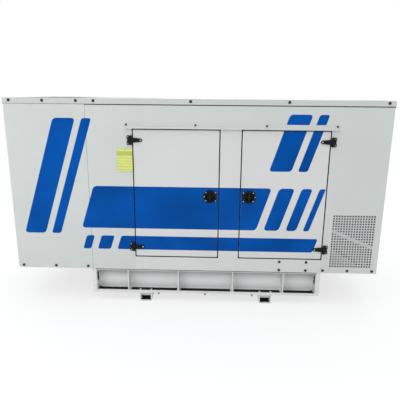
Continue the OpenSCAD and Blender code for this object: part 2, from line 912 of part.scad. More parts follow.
module header() {
  front_sheet([opening_l0, opening_r1], [door_high_z, wall_top_z]);
  for (x = [opening_l0, opening_r0]) level_reveal(x, door_high_z, -1);
}

module sill() {
  front_sheet([opening_l0, opening_r1], [deck_z, door_low_z]);
  for (x = [opening_l0, opening_r0]) level_reveal(x, door_low_z, 1);
}

module door_post() {
  front_sheet([opening_l1, opening_r0], [door_low_z, door_high_z]);
  side_reveal(opening_r0);
  right_hand() side_reveal(opening_r0);
}

// Square holes of the air inlet, as far as they clear the door opening
module vent_holes()
  for (c = [0 : vent_cols - 1], r = [0 : vent_rows - 1]) {
    x = vent_x + (c - (vent_cols - 1) / 2) * vent_pitch;
    z = deck_z + vent_z + (r - (vent_rows - 1) / 2) * vent_pitch;
    if (x - vent_hole / 2 > opening_r1 + vent_side)
      translate([x, z]) square(vent_hole, center = true);
  }

module vent_panel() {
  along_y(-skin_y, -inner_y) difference() {
    translate([opening_r1, deck_z]) square([end_x - opening_r1, wall_top_z - deck_z]);
    vent_holes();
  }
  right_hand() side_reveal(opening_l0);
}

module front_hood_panel() color("gainsboro") hood_panel();
module front_left_panel() color("gainsboro") left_panel();
module front_header() color("gainsboro") header();
module front_sill() color("gainsboro") sill();
module front_door_post() color("gainsboro") door_post();
module front_vent_panel() color("gainsboro") vent_panel();

// The rear repeats the front, with one skin round its two door openings
module rear_wall()
  color("gainsboro") mirror([0, 1, 0]) {
    along_y(-skin_y, -inner_y) difference() {
      translate([-end_x, deck_z]) square([opening_r1 + end_x, wall_top_z - deck_z]);
      for (x = [opening_l0, opening_r0])
        translate([x, door_low_z]) square([door_open_w, door_open_h]);
    }
    side_reveal(opening_l0);
    side_reveal(opening_r0);
    right_hand() side_reveal(opening_r0);
    for (x = [opening_l0, opening_r0]) {
      level_reveal(x, door_high_z, -1);
      level_reveal(x, door_low_z, 1);
    }
  }

module rear_vent_panel() color("gainsboro") mirror([0, 1, 0]) vent_panel();

module end_wall(x)
  span([x, x + sheet_t], [-inner_y, inner_y], [deck_z, wall_top_z]);

module left_end_wall() color("gainsboro") end_wall(-end_x);
module right_end_wall() color("gainsboro") end_wall(end_x - sheet_t);

// Roof tray with a flange on its long sides and on the end where end is -1 or 1
module roof_tray(x0, x1, end) {
  out = roof_fit + sheet_t;
  low = top_z - roof_flange_h;
  left = end < 0 ? x0 - out : x0;
  right = end > 0 ? x1 + out : x1;
  span([left, right], [-skin_y - out, skin_y + out], [wall_top_z, top_z]);
  both_sides()
    span([left, right], [-skin_y - out, -skin_y - roof_fit], [low, wall_top_z + eps]);
  span(end < 0 ? [left, left + sheet_t] : [right - sheet_t, right],
       [-skin_y - out, skin_y + out], [low, wall_top_z + eps]);
}

module main_roof() color("gainsboro") roof_tray(hood_x, end_x, 1);

// Opening of the discharge grille in the hood roof
grille_x = [-end_x + grille_margin_x, hood_x - grille_margin_x];
grille_y = [-skin_y + grille_margin_y, skin_y - grille_margin_y];

module hood_roof()
  color("gainsboro") difference() {
    roof_tray(-end_x, hood_x, -1);
    span(grille_x, grille_y, [wall_top_z - over, top_z + over]);
  }

// Bars on edge in a flat frame, under the opening in the hood roof
module discharge_grille() {
  low = wall_top_z - grille_bar_h;
  bar_step = (grille_x[1] - grille_x[0]) / (grille_bars + 1);
  tie_step = (grille_y[1] - grille_y[0]) / (grille_ties + 1);
  color("gray") {
    difference() {
      span(grille_x + [-grille_frame, grille_frame], grille_y + [-grille_frame, grille_frame],
           [low, wall_top_z]);
      span(grille_x, grille_y, [low - over, wall_top_z + over]);
    }
    for (i = [1 : grille_bars])
      span(about(grille_x[0] + i * bar_step, grille_bar_t / 2), grille_y + [-eps, eps], [low, wall_top_z]);
    for (i = [1 : grille_ties])
      span(grille_x + [-eps, eps], about(grille_y[0] + i * tie_step, grille_bar_t / 2),
           [low, low + grille_bar_h / 2]);
  }
}

// Rain gutter over the doors: a leg, a slope and a turned-down edge
module drip_rail() {
  low = door_high_z + rail_gap;
  tip = -skin_y - rail_lip;
  along_x(opening_l0 - rail_over, opening_r1 + rail_over) polygon([
    [-skin_y, low + rail_h], [-skin_y - sheet_t, low + rail_h],
    [-skin_y - sheet_t, low + rail_slope + sheet_t], [tip, low + rail_edge], [tip, low],
    [tip + sheet_t, low], [tip + sheet_t, low + rail_edge - sheet_t], [-skin_y, low + rail_slope]
  ]);
}

module drip_rails() color("gainsboro") both_sides() drip_rail();

// A sloping sheet behind the inlet, with its high end at z
module slope(z, t, run, fall, y0, y1) {
  x1 = inlet_x + run;
  along_y(inlet_y + y0, inlet_y + y1)
    polygon([[inlet_x, z], [x1, z - fall], [x1, z - fall - t], [inlet_x, z - t]]);
}

// A sloping angle: a front flange and a shelf behind it
module baffle(z, t, run, fall) {
  slope(z, baffle_flange, run, fall, 0, t);
  slope(z, t, run, fall, t - eps, baffle_depth);
}

// Upright plate that the air rises behind, with a flange at its top
module splitter()
  along_x(inlet_x, end_x - sheet_t - lining_t) polygon([
    [splitter_y, floor_z], [splitter_y + sheet_t, floor_z], [splitter_y + sheet_t, splitter_top_z],
    [splitter_y - splitter_flange, splitter_top_z],
    [splitter_y - splitter_flange, splitter_top_z - sheet_t], [splitter_y, splitter_top_z - sheet_t]
  ]);

module inlet_baffles()
  color("gainsboro") both_sides() {
    baffle(baffle_z, sheet_t, inlet_run, baffle_drop);
    splitter();
  }

module inlet_foam()
  color("dimgray") both_sides() baffle(foam_z, foam_t, foam_run, foam_fall);

// Felt on the upper baffle and on the splitter above the foam baffle
module inlet_felt()
  color("gray") both_sides() {
    x1 = end_x - sheet_t - lining_t;
    top = splitter_top_z - sheet_t;
    slope(baffle_z + felt_t, felt_t, inlet_run, baffle_drop, sheet_t, baffle_depth);
    along_y(splitter_y - felt_t, splitter_y) polygon([
      [inlet_x, foam_z], [inlet_x + foam_run, foam_z - foam_fall], [x1, foam_z - foam_fall],
      [x1, top], [inlet_x, top]
    ]);
  }

// Doors

// Rubber ring on the stop flanges, face to face with the shut door
module seal() {
  back = -stop_y - seal_seat;
  front = -skin_y + door_depth + seal_play;
  edge = (stop_w - seal_w) / 2;
  along_y(front, back) difference() {
    translate([opening_l0 + edge, door_low_z + edge])
      square([door_open_w - 2 * edge, door_open_h - 2 * edge]);
    translate([opening_l0 + edge + seal_w, door_low_z + edge + seal_w])
      square([door_open_w - 2 * (edge + seal_w), door_open_h - 2 * (edge + seal_w)]);
  }
}

module door_seals()
  color("dimgray") both_sides() {
    seal();
    right_hand() seal();
  }

// Middle of the left door's latch
latch_x = opening_l1 - door_gap - latch_edge - latch_r;
latch_level = deck_z + latch_z;

// Folded tray with round corners, flush with the canopy skin
module door_tray() {
  w = door_open_w - 2 * door_gap;
  h = door_open_h - 2 * door_gap;
  middle = [(opening_l0 + opening_l1) / 2, (door_low_z + door_high_z) / 2];
  along_y(-skin_y, -inner_y) difference() {
    translate(middle) rounded(w, h, door_r);
    translate([latch_x, latch_level]) circle(latch_dish_r + latch_fit);
  }
  along_y(-inner_y, -skin_y + door_depth) translate(middle) difference() {
    rounded(w, h, door_r);
    rounded(w - 2 * sheet_t, h - 2 * sheet_t, door_r - sheet_t);
  }
}

module door_lining() {
  edge = door_gap + door_r + lining_play;
  difference() {
    span([opening_l0 + edge, opening_l1 - edge], [-inner_y, -inner_y + lining_t],
         [door_low_z + edge, door_high_z - edge]);
    rod_y(-inner_y - over, -inner_y + lining_t + over, latch_x, latch_level,
          latch_dish_r + 2 * lining_play);
  }
}

// Dish latch: a round flange squared towards the door's edge, and a T handle
module door_latch() {
  floor_y = -skin_y + latch_dish_d - latch_wall;
  difference() {
    union() {
      along_y(-skin_y - latch_flange_t, -skin_y) {
        translate([latch_x, latch_level]) circle(latch_r);
        translate([latch_x, latch_level - latch_flat_h / 2]) square([latch_r, latch_flat_h]);
      }
      rod_y(-skin_y - eps, -skin_y + latch_dish_d, latch_x, latch_level, latch_dish_r);
    }
    rod_y(-skin_y - latch_flange_t - over, floor_y, latch_x, latch_level, latch_dish_r - latch_wall);
  }
  rod_y(-skin_y - latch_flange_t, floor_y + eps, latch_x, latch_level, latch_hub_r);
  span(about(latch_x, latch_handle_w / 2), [-skin_y - latch_flange_t, -skin_y + latch_handle_w / 2],
       about(latch_level, latch_dish_r - 2 * latch_wall));
  span(about(latch_x, latch_handle_w / 2),
       [-skin_y + latch_dish_d - eps, -skin_y + latch_dish_d + latch_wall],
       about(latch_level, latch_cam_l / 2));
}

// Hinge of the left door, about its pin: +X to the door, +Y into the canopy

hinge_axis = [opening_l0 - hinge_side, -skin_y - hinge_out];
hinge_levels = [door_low_z + hinge_inset, door_high_z - hinge_inset];
arm_half = hinge_arm_h / 2;
leaf_half = hinge_leaf_h / 2;

module at_hinges()
  for (z = hinge_levels) translate([hinge_axis[0], hinge_axis[1], z]) children();

// Fixed leaf with its two knuckles and the pin
module hinge_leaf() {
  right = -hinge_barrel_r - hinge_leaf_gap;
  along_y(hinge_out - hinge_t, hinge_out) difference() {
    translate([right - hinge_leaf_w / 2, 0]) rounded(hinge_leaf_w, hinge_leaf_h, hinge_leaf_r);
    translate([right - hinge_leaf_w - leaf_half / 2 + hinge_waist, 0]) circle(leaf_half / 2);
  }
  for (end = [-1, 1]) {
    z = end > 0 ? [arm_half + knuckle_play, leaf_half] : [-leaf_half, -arm_half - knuckle_play];
    span([right - hinge_leaf_w / 2, 0], [0, hinge_out],
         end > 0 ? z - [0, hinge_leaf_r] : z + [hinge_leaf_r, 0]);
    translate([0, 0, z[0]]) cylinder(r = hinge_barrel_r, h = z[1] - z[0]);
  }
  translate([0, 0, -leaf_half]) cylinder(r = hinge_pin_r, h = hinge_leaf_h);
}

// Outline of the arm: a taper to a round tip
module arm_outline(x0) {
  tip = hinge_arm_l - hinge_tip_r;
  difference() {
    union() {
      polygon([[0, -arm_half], [tip, -hinge_tip_r], [tip, hinge_tip_r], [0, arm_half]]);
      translate([tip, 0]) circle(hinge_tip_r);
    }
    translate([x0 - 2 * hinge_arm_l, -hinge_arm_l]) square([2 * hinge_arm_l, 2 * hinge_arm_l]);
  }
}

// Moving knuckle and arm, which lies on the door
module hinge_arm() {
  plate = [hinge_out - hinge_arm_gap - hinge_t, hinge_out - hinge_arm_gap];
  pad_x = hinge_side + door_gap + hinge_pad_in;
  difference() {
    union() {
      translate([0, 0, -arm_half]) cylinder(r = hinge_barrel_r, h = hinge_arm_h);
      along_y(plate[0], plate[1]) arm_outline(0);
      along_y(plate[1] - eps, hinge_out) arm_outline(pad_x);
      span([0, hinge_arm_l - 2 * hinge_tip_r], [plate[0] - hinge_rib_t, plate[0] + eps],
           about(0, arm_half / 3));
    }
    translate([0, 0, -arm_half - over]) cylinder(r = hinge_pin_r + hinge_clear, h = hinge_arm_h + 2 * over);
  }
}

module left_door() color("gainsboro") door_tray();
module left_door_lining() color("dimgray") door_lining();
module left_door_latch() color("black") door_latch();
module left_door_hinges() color("black") at_hinges() hinge_arm();

module right_door() color("gainsboro") right_hand() door_tray();
module right_door_lining() color("dimgray") right_hand() door_lining();
module right_door_latch() color("black") right_hand() door_latch();
module right_door_hinges() color("black") right_hand() at_hinges() hinge_arm();

module hinge_leaves()
  color("black") {
    at_hinges() hinge_leaf();
    right_hand() at_hinges() hinge_leaf();
  }

module rear_doors()
  color("gainsboro") mirror([0, 1, 0]) {
    door_tray();
    right_hand() door_tray();
  }

module rear_door_hardware()
  color("black") mirror([0, 1, 0]) {
    for (hand = [0, 1])
      translate([hand * 2 * door_pair_x, 0, 0]) mirror([hand, 0, 0]) {
        door_latch();
        at_hinges() hinge_leaf();
        at_hinges() hinge_arm();
      }
  }

// Cooling pack

// Partition between the engine room and the discharge hood
module radiator_bulkhead()
  color("gainsboro") along_x(hood_x - sheet_t, hood_x) difference() {
    translate([-inner_y, floor_z]) square([2 * inner_y, wall_top_z - floor_z]);
    translate([0, (radiator_z[0] + radiator_z[1]) / 2])
      square([radiator_w - 2 * bulkhead_lap, radiator_h - 2 * bulkhead_lap], center = true);
    translate([pipe_y, pipe_z]) circle(pipe_r + pipe_hole);
  }

// Core between tanks and side channels, with a shroud round the fan
module radiator() {
  x = [hood_x, hood_x + radiator_t];
  half = radiator_w / 2;
  shroud_r = fan_r + fan_clear;
  foot_y = half - 2 * channel_w;
  color("dimgray") {
    for (z = [radiator_z[0], radiator_z[1] - tank_h])
      along_y(-half, half) translate([x[0] + radiator_t / 2, z + tank_h / 2])
        rounded(radiator_t, tank_h, drum_edge);
    both_sides() span(x, [-half, -half + channel_w], radiator_z + [drum_edge, -drum_edge]);
    span(x + [core_inset, -core_inset], about(0, half - channel_w), radiator_z + [tank_h, -tank_h]);
    for (side = [-1, 1])
      span(x + [drum_edge, -drum_edge], about(side * foot_y, radiator_foot_w / 2),
           [floor_z, radiator_z[0] + drum_edge]);
    translate([x[0] + radiator_t / 2, 0, radiator_z[1] - over]) {
      cylinder(r = neck_r, h = neck_h);
      translate([0, 0, neck_h / 2]) cylinder(r = neck_r + cuff_t, h = neck_h / 2 + over);
    }
    along_x(x[1], x[1] + shroud_t) difference() {
      translate([-half, radiator_z[0] + drum_edge]) square([radiator_w, radiator_h - 2 * drum_edge]);
      translate([0, fan_z]) circle(shroud_r + shroud_flare);
    }
    revolve_x(x[1], 0, fan_z) polygon([
      [shroud_r + shroud_flare, 0], [shroud_r + shroud_flare + shroud_t, 0],
      [shroud_r + shroud_flare + shroud_t, shroud_t], [shroud_r + shroud_t, shroud_l / 2],
      [shroud_r + shroud_t, shroud_l], [shroud_r, shroud_l], [shroud_r, shroud_l / 2]
    ]);
  }
}

// A grooved belt pulley's half-section
module pulley(r, l)
  polygon([[0, 0], [r, 0], [r - groove_d, l / 2], [r, l], [0, l]]);

// Hub and pitched blades, on a shaft with its belt pulley
module cooling_fan() {
  x = hood_x + radiator_t + fan_set;
  root = fan_hub_r - blade_root_w / 4;
  color("gold") {
    revolve_x(x - fan_hub_l / 2, 0, fan_z) drum(fan_hub_r, fan_hub_l, fan_hub_l / 4);
    for (i = [0 : fan_blades - 1])
      translate([x, 0, fan_z]) rotate([i * 360 / fan_blades, 0, 0]) rotate([0, 0, blade_pitch])
        along_x(-blade_t / 2, blade_t / 2) polygon([
          [-blade_root_w / 2, root], [blade_root_w / 2, root], [blade_w / 2, fan_r - blade_w / 3],
          [blade_w / 3, fan_r], [-blade_w / 3, fan_r], [-blade_w / 2, fan_r - blade_w / 3]
        ]);
    rod_x(x, block_x0 - timing_t, 0, fan_z, fan_shaft_r);
    revolve_x(block_x0 - timing_t - pulley_l, 0, fan_z) pulley(fan_pulley_r, pulley_l);
  }
}

// Set frame

// Two channels that open inwards, with tubes across them under the mounts
module set_bearers() {
  x = [block_x0 - bearer_over, alternator_x1 + bearer_over];
  outer = bearer_y + bearer_w / 2;
  inner = bearer_y - bearer_w / 2;
  low = floor_z + plate_t;
  high = floor_z + bearer_h - plate_t;
  color("dimgray") {
    both_sides() along_x(x[0], x[1]) polygon([
      [-outer, floor_z], [-inner, floor_z], [-inner, low], [-outer + plate_t, low],
      [-outer + plate_t, high], [-inner, high], [-inner, high + plate_t], [-outer, high + plate_t]
    ]);
    for (px = mount_places)
      span(about(px, cross_w / 2), [-outer + plate_t, outer - plate_t], [low, high]);
  }
}

// Rubber between two round plates
module rubber_mounts()
  color("black") both_sides() for (x = mount_places)
    translate([x, -bearer_y, floor_z + bearer_h]) rotate_extrude() polygon([
      [0, 0], [mount_plate_r, 0], [mount_plate_r, mount_plate_t], [mount_r, mount_plate_t],
      [mount_r, mount_h - mount_plate_t], [mount_plate_r, mount_h - mount_plate_t],
      [mount_plate_r, mount_h], [0, mount_h]
    ]);

// Foot plates on the two mounts at x, each with a web up to level z
module mount_feet(x, z)
  both_sides() {
    span(about(x, bracket_w / 2), [-bearer_y - bracket_reach, -bracket_inner],
         [mount_top_z, mount_top_z + bracket_t]);
    along_x(x - bracket_web / 2, x + bracket_web / 2) polygon([
      [-bearer_y, mount_top_z], [-bracket_inner, mount_top_z], [-bracket_inner, z],
      [-bracket_inner - bracket_web, z]
    ]);
  }

// Level where the web of a foot is well inside a round frame
function web_level(r) = crank_z - sqrt(r * r - bracket_inner * bracket_inner) + bracket_bite;

// Engine

function cylinder_x(i) = block_x0 + (i + 0.5) * block_l / cylinders;

module engine_block() {
  case_z = block_low + case_h;
  bank_z = case_z + shoulder_h;
  sump_z = floor_z + sump_clear;
  timing_h = head_z - block_low - 2 * timing_in;
  rib_x = block_l / cylinders / 4;
  color("dimgray") {
    along_x(block_x0, block_x1) polygon([
      [-case_w / 2, block_low], [-case_w / 2, case_z], [-bank_w / 2, bank_z], [-bank_w / 2, head_z],
      [bank_w / 2, head_z], [bank_w / 2, bank_z], [case_w / 2, case_z], [case_w / 2, block_low]
    ]);
    // Ribs and core plugs on the cylinder bank
    both_sides() for (i = [0 : cylinders - 1]) {
      rod_y(-bank_w / 2 - plug_t, 0, cylinder_x(i), head_z - plug_drop, plug_r);
      span(about(cylinder_x(i) + rib_x, bank_rib_w / 2), [-bank_w / 2 - bank_rib_t, 0],
           [case_z, head_z - bank_rib_t]);
    }
    // Timing cover, with the crank pulley in front
    along_x(block_x0 - timing_t, block_x0) translate([0, block_low + timing_in + timing_h / 2])
      rounded(case_w - 2 * timing_in, timing_h, timing_r);
    revolve_x(block_x0 - timing_t - pulley_l, 0, crank_z) pulley(pulley_r, pulley_l);
    // Sump, deeper at the rear, on a bolting flange
    span([block_x0, block_x1], about(0, case_w / 2 + sump_flange), [block_low - sump_flange, block_low]);
    along_y(-sump_w / 2, sump_w / 2) polygon([
      [block_x0 + sump_in, block_low], [block_x1 - sump_in, block_low], [block_x1 - 2 * sump_in, sump_z],
      [block_x0 + block_l / 2, sump_z], [block_x0 + block_l / 3, sump_z + sump_step],
      [block_x0 + 2 * sump_in, sump_z + sump_step]
    ]);
    mount_feet(mount_places[0], block_low + bracket_bite);
  }
}

// Rocker cover's section with round upper edges, standing at z
module cover_section(w, z, h) {
  translate([0, z]) square_up(w, h - cover_r);
  translate([0, z]) square_up(w - 2 * cover_r, h);
  for (side = [-1, 1]) translate([side * (w / 2 - cover_r), z + h - cover_r]) circle(cover_r);
}

// Head with the ribbed rocker cover and the oil filler cap
module cylinder_head() {
  x = [block_x0 + head_inset, block_x1 - head_inset];
  cover_x = x + [cover_in, -cover_in];
  color("gray") {
    span(x, about(0, head_w / 2), [head_z, head_top_z]);
    along_x(cover_x[0], cover_x[1]) cover_section(cover_w, head_top_z, cover_h);
    for (i = [1 : cylinders - 1])
      along_x(cylinder_x(i - 0.5) - cover_rib_w / 2, cylinder_x(i - 0.5) + cover_rib_w / 2)
        cover_section(cover_w + 2 * cover_rib_h, head_top_z, cover_h + cover_rib_h);
    translate([x[0] + cap_in, 0, head_top_z + cover_h - over]) {
      cylinder(r = cap_r * 3 / 4, h = cap_h);
      translate([0, 0, cap_h / 2]) cylinder(r = cap_r, h = cap_h / 2 + over);
    }
  }
}

// Flanged ports from the head's face to a log at distance out
module ports(out)
  for (i = [0 : cylinders - 1]) {
    along_y(-head_w / 2 - out, -head_w / 2) translate([cylinder_x(i), port_z])
      rounded(port_w, port_w, port_r);
    along_y(-head_w / 2 - port_flange_t, -head_w / 2) translate([cylinder_x(i), port_z])
      rounded(port_w + 2 * port_lip, port_w + port_lip, port_r);
  }

// Intake log on the front of the head
module intake_manifold()
  color("silver") {
    ports(intake_out);
    revolve_x(block_x0 + log_in, -head_w / 2 - intake_out, port_z)
      drum(intake_r, block_l - 2 * log_in, drum_edge);
  }

// Two spin-on filters under one head, on a bracket from the cylinder bank
module engine_filters() {
  x = [block_x1 - filter_in - filter_pitch, block_x1 - filter_in];
  y = -bank_w / 2 - filter_out;
  z = crank_z + filter_rise;
  color("goldenrod") {
    along_y(y - filter_r - filter_wall, y + filter_r + filter_wall)
      translate([(x[0] + x[1]) / 2, z + filter_head_h / 2])
        rounded(filter_pitch + 2 * (filter_r + filter_wall), filter_head_h, drum_edge);
    for (px = x)
      translate([px, y, z - filter_h]) rotate_extrude() drum(filter_r, filter_h + drum_edge, drum_edge);
    span(x + [-filter_r, filter_r], [y + filter_r, -bank_w / 2 - bank_rib_t],
         [z + filter_wall, z + filter_head_h - filter_wall]);
  }
}

// Starter motor and its solenoid, flanged to the flywheel housing
module starter_motor()
  color("dimgray") {
    y = -case_w / 2 - starter_out;
    z = crank_z - starter_drop;
    solenoid_z = z + starter_r + solenoid_r - cuff_t;
    nose = starter_l / 5;
    revolve_x(block_x1 - starter_l, y, z) drum(starter_r, starter_l - nose, drum_edge);
    rod_x(block_x1 - starter_l / 2, block_x1, y, z, starter_r * 3 / 4);
    rod_x(block_x1 - bracket_plate, block_x1, y, z, starter_r);
    revolve_x(block_x1 - nose - solenoid_l, y, solenoid_z) drum(solenoid_r, solenoid_l, drum_edge);
  }

// A quarter bend of a pipe about Y, from a riser at the origin to a run towards -X
module bend(r, turn)
  translate([-turn, 0, -turn]) rotate([90, 0, 0]) rotate_extrude(angle = 90) translate([turn, 0]) circle(r);

// Canister on two brackets from the head, with its hose down to the intake log
module air_cleaner() {
  x = [block_x0 + cleaner_in, block_x0 + cleaner_in + cleaner_l];
  y = -head_w / 2 - intake_out;
  z = head_z + cleaner_rise;
  hose_x = block_x0 + log_in - hose_bend;
  ledge = [-head_w / 2, -cover_w / 2 - 2 * cover_rib_h];
  color("black") {
    revolve_x(x[0], y, z) drum(cleaner_r, cleaner_l, 2 * drum_edge);
    for (px = [x[0] + cleaner_l / 5, x[1] - cleaner_l / 5]) {
      rod_x(px - band_w / 2, px + band_w / 2, y, z, cleaner_r + band_t);
      span(about(px, bracket_plate / 2), ledge, [head_top_z, z]);
      span(about(px, band_w), ledge, [head_top_z, head_top_z + bracket_plate]);
    }
    rod_x(x[1] - band_w, x[1] - 2 * band_t, y, z, cleaner_r + band_t);
    // Hose in two bends, with a cuff on each
    rod_x(block_x0 + log_in - over, x[0] + over, y, z, hose_r);
    translate([hose_x, y, z]) mirror([1, 0, 0]) bend(hose_r + cuff_t, hose_bend);
    translate([hose_x, y, port_z + hose_bend - over])
      cylinder(r = hose_r, h = z - port_z - 2 * hose_bend + 2 * over);
    translate([hose_x, y, port_z]) mirror([1, 0, 0]) mirror([0, 0, 1]) bend(hose_r + cuff_t, hose_bend);
  }
}

// Exhaust log on the head, its riser and the run through the bulkhead
module exhaust_pipe() {
  riser_x = (block_x0 + block_x1) / 2;
  color("sienna") {
    mirror([0, 1, 0]) ports(exhaust_out);
    revolve_x(block_x0 + log_in, pipe_y, port_z) drum(pipe_r + cuff_t, block_l - 2 * log_in, drum_edge);
    translate([riser_x, pipe_y, port_z]) cylinder(r = pipe_r, h = pipe_z - pipe_bend - port_z + over);
    translate([riser_x, pipe_y, (port_z + pipe_z) / 2])
      cylinder(r = pipe_r + pipe_flange, h = 2 * pipe_flange_t);
    translate([riser_x, pipe_y, pipe_z]) bend(pipe_r + cuff_t, pipe_bend);
    rod_x(joint_x, riser_x - pipe_bend + over, pipe_y, pipe_z, pipe_r);
    rod_x(joint_x, joint_x + pipe_flange_t, pipe_y, pipe_z, pipe_r + pipe_flange);
  }
}

// Drum across the hood on two arms, with a tail pipe under the grille
module silencer() {
  tail_h = wall_top_z - grille_bar_h - tail_gap - pipe_z;
  color("silver") difference() {
    union() {
      translate([silencer_x, -silencer_l / 2, pipe_z]) rotate([-90, 0, 0]) rotate_extrude()
        drum(silencer_r, silencer_l, silencer_edge);
      rod_x(silencer_x, joint_x, pipe_y, pipe_z, pipe_r);
      rod_x(joint_x - pipe_flange_t, joint_x, pipe_y, pipe_z, pipe_r + pipe_flange);
      for (y = [-arm_y, arm_y]) {
        span([-end_x + sheet_t, silencer_x], about(y, arm_t / 2), about(pipe_z, arm_h / 2));
        rod_y(y - band_w / 2, y + band_w / 2, silencer_x, pipe_z, silencer_r + band_t);
      }
      translate([silencer_x, -tail_y, pipe_z]) cylinder(r = pipe_r, h = tail_h);
    }
    translate([silencer_x, -tail_y, pipe_z + silencer_r])
      cylinder(r = pipe_r - tail_wall, h = tail_h);
  }
}

// Bell between engine and alternator
module flywheel_housing()
  color("dimgray") {
    revolve_x(block_x1, 0, crank_z) polygon([
      [0, 0], [housing_r, 0], [housing_r, housing_rim], [housing_waist_r, 2 * housing_rim],
      [housing_waist_r, housing_l - 2 * housing_rim], [alternator_r + housing_lip, housing_l - housing_rim],
      [alternator_r + housing_lip, housing_l], [0, housing_l]
    ]);
    mount_feet(mount_places[1], web_level(housing_waist_r));
  }

// Ribbed frame between two rings, with a slotted end bell
module alternator() {
  frame_l = alternator_l - bell_l;
  low_r = alternator_r - frame_rib_h;
  bell_r = alternator_r - bell_step;
  pad_x = [terminal_x[0] + pad_in, terminal_x[1] - pad_in];
  color("steelblue") {
    difference() {
      revolve_x(housing_x1, 0, crank_z) polygon([
        [0, 0], [alternator_r, 0], [alternator_r, frame_ring], [low_r, frame_ring],
        [low_r, frame_l - frame_ring], [alternator_r, frame_l - frame_ring], [alternator_r, frame_l],
        [bell_r, frame_l], [bell_r, alternator_l - louvre_in / 2], [bell_r - louvre_in / 2, alternator_l],
        [0, alternator_l]
      ]);
      for (i = [0 : louvres - 1])
        translate([0, 0, crank_z]) rotate([i * 360 / louvres, 0, 0])
          span([housing_x1 + frame_l + louvre_in, alternator_x1 - louvre_in], about(0, louvre_w / 2),
               [bell_r - louvre_d, alternator_r]);
    }
    for (i = [0 : frame_ribs - 1])
      translate([0, 0, crank_z]) rotate([(i + 0.5) * 360 / frame_ribs, 0, 0])
        span([housing_x1 + frame_ring - eps, housing_x1 + frame_l - frame_ring + eps],
             about(0, frame_rib_w / 2), [low_r - frame_rib_w, alternator_r]);
    span(pad_x, about(0, terminal_w / 2 - pad_in), [crank_z, crank_z + alternator_r + pad_h]);
    mount_feet(mount_places[2], web_level(low_r));
  }
}

// Box on the alternator, with a lid and side covers
module terminal_box() {
  low = crank_z + alternator_r + pad_h;
  half = terminal_w / 2;
  color("steelblue") {
    span(terminal_x, [-half, half], [low, low + terminal_h]);
    span(terminal_x + [-lid_over, lid_over], about(0, half + lid_over),
         [low + terminal_h, low + terminal_h + lid_t]);
    both_sides() along_y(-half - lid_t, -half)
      translate([(terminal_x[0] + terminal_x[1]) / 2, low + terminal_h / 2])
        rounded(terminal_l - 2 * side_cover_in, terminal_h - 2 * side_cover_in, drum_edge);
  }
}

// Cabinet on two leg frames, with its controller
module control_cabinet() {
  leg_h = cabinet_z[0] - floor_z;
  middle = (cabinet_x[0] + cabinet_x[1]) / 2;
  front = cabinet_y[0] - panel_t;
  bezel_z = cabinet_z[1] - bezel_drop - bezel_h / 2;
  screen_z = bezel_z + (bezel_h - screen_h) / 2 - panel_in;
  button_z = bezel_z - bezel_h / 2 + panel_in + button_r;
  stop_z = bezel_z - bezel_h / 2 - stop_head_drop;
  step = bezel_w / (buttons + 1);
  color("darkgray") difference() {
    union() {
      span(cabinet_x, cabinet_y, cabinet_z);
      along_y(front, cabinet_y[0]) translate([middle, (cabinet_z[0] + cabinet_z[1]) / 2])
        rounded(cabinet_w - 2 * panel_in, cabinet_h - 2 * panel_in, panel_r);
      along_y(front - bezel_t, front) translate([middle, bezel_z]) rounded(bezel_w, bezel_h, panel_r);
      for (i = [1 : buttons])
        rod_y(front - bezel_t - button_h, front, middle - bezel_w / 2 + i * step, button_z, button_r);
      rod_y(front - stop_head_h, front, middle, stop_z, stop_head_r / 2);
      rod_y(front - stop_head_h, front - stop_head_h / 2, middle, stop_z, stop_head_r);
      for (x = [cabinet_x[0], cabinet_x[1] - leg_w])
        along_x(x, x + leg_w) translate([cabinet_y[0] + cabinet_d / 2, floor_z + leg_h / 2]) difference() {
          square([cabinet_d, leg_h], center = true);
          rounded(cabinet_d - 2 * leg_bar, leg_h - 2 * leg_bar, leg_bar);
        }
    }
    along_y(front - bezel_t - over, front - bezel_t + screen_d) translate([middle, screen_z])
      rounded(screen_w, screen_h, panel_r / 2);
  }
}

// Case with a lid, two terminals, and a bar that holds it down
module battery() {
  middle = [(cabinet_x[0] + cabinet_x[1]) / 2, cabinet_y[0] + 2 * battery_lid_over + battery_w / 2];
  top = floor_z + battery_h;
  color("black") translate([middle[0], middle[1], 0]) {
    translate([0, 0, floor_z]) linear_extrude(battery_h) rounded(battery_l, battery_w, battery_r);
    translate([0, 0, top - battery_lid_h]) linear_extrude(battery_lid_h / 2)
      rounded(battery_l + 2 * battery_lid_over, battery_w + 2 * battery_lid_over, battery_r);
    for (side = [-1, 1]) {
      translate([side * (battery_l / 2 - terminal_post_in), -battery_w / 2 + terminal_post_in, top - over])
        cylinder(r1 = terminal_r, r2 = terminal_r * 0.9, h = terminal_post_h + over);
      translate([0, side * (battery_w / 2 + battery_lid_over), floor_z])
        cylinder(r = hold_r, h = battery_h + hold_w / 2);
    }
    span(about(0, hold_w / 2), about(0, battery_w / 2 + battery_lid_over + 2 * hold_r),
         [top, top + hold_w / 4]);
  }
}

// Foam under the main roof, on the right end wall and in the rear doors
module canopy_lining() {
  clear_y = inner_y - baffle_gap - baffle_depth - lining_play;
  color("dimgray") {
    span([hood_x + lining_play, end_x - sheet_t - lining_play], about(0, inner_y - lining_play),
         [wall_top_z - lining_t, wall_top_z]);
    span([end_x - sheet_t - lining_t, end_x - sheet_t], [-clear_y, clear_y],
         [floor_z, wall_top_z - lining_t - lining_play]);
    mirror([0, 1, 0]) {
      door_lining();
      right_hand() door_lining();
    }
  }
}

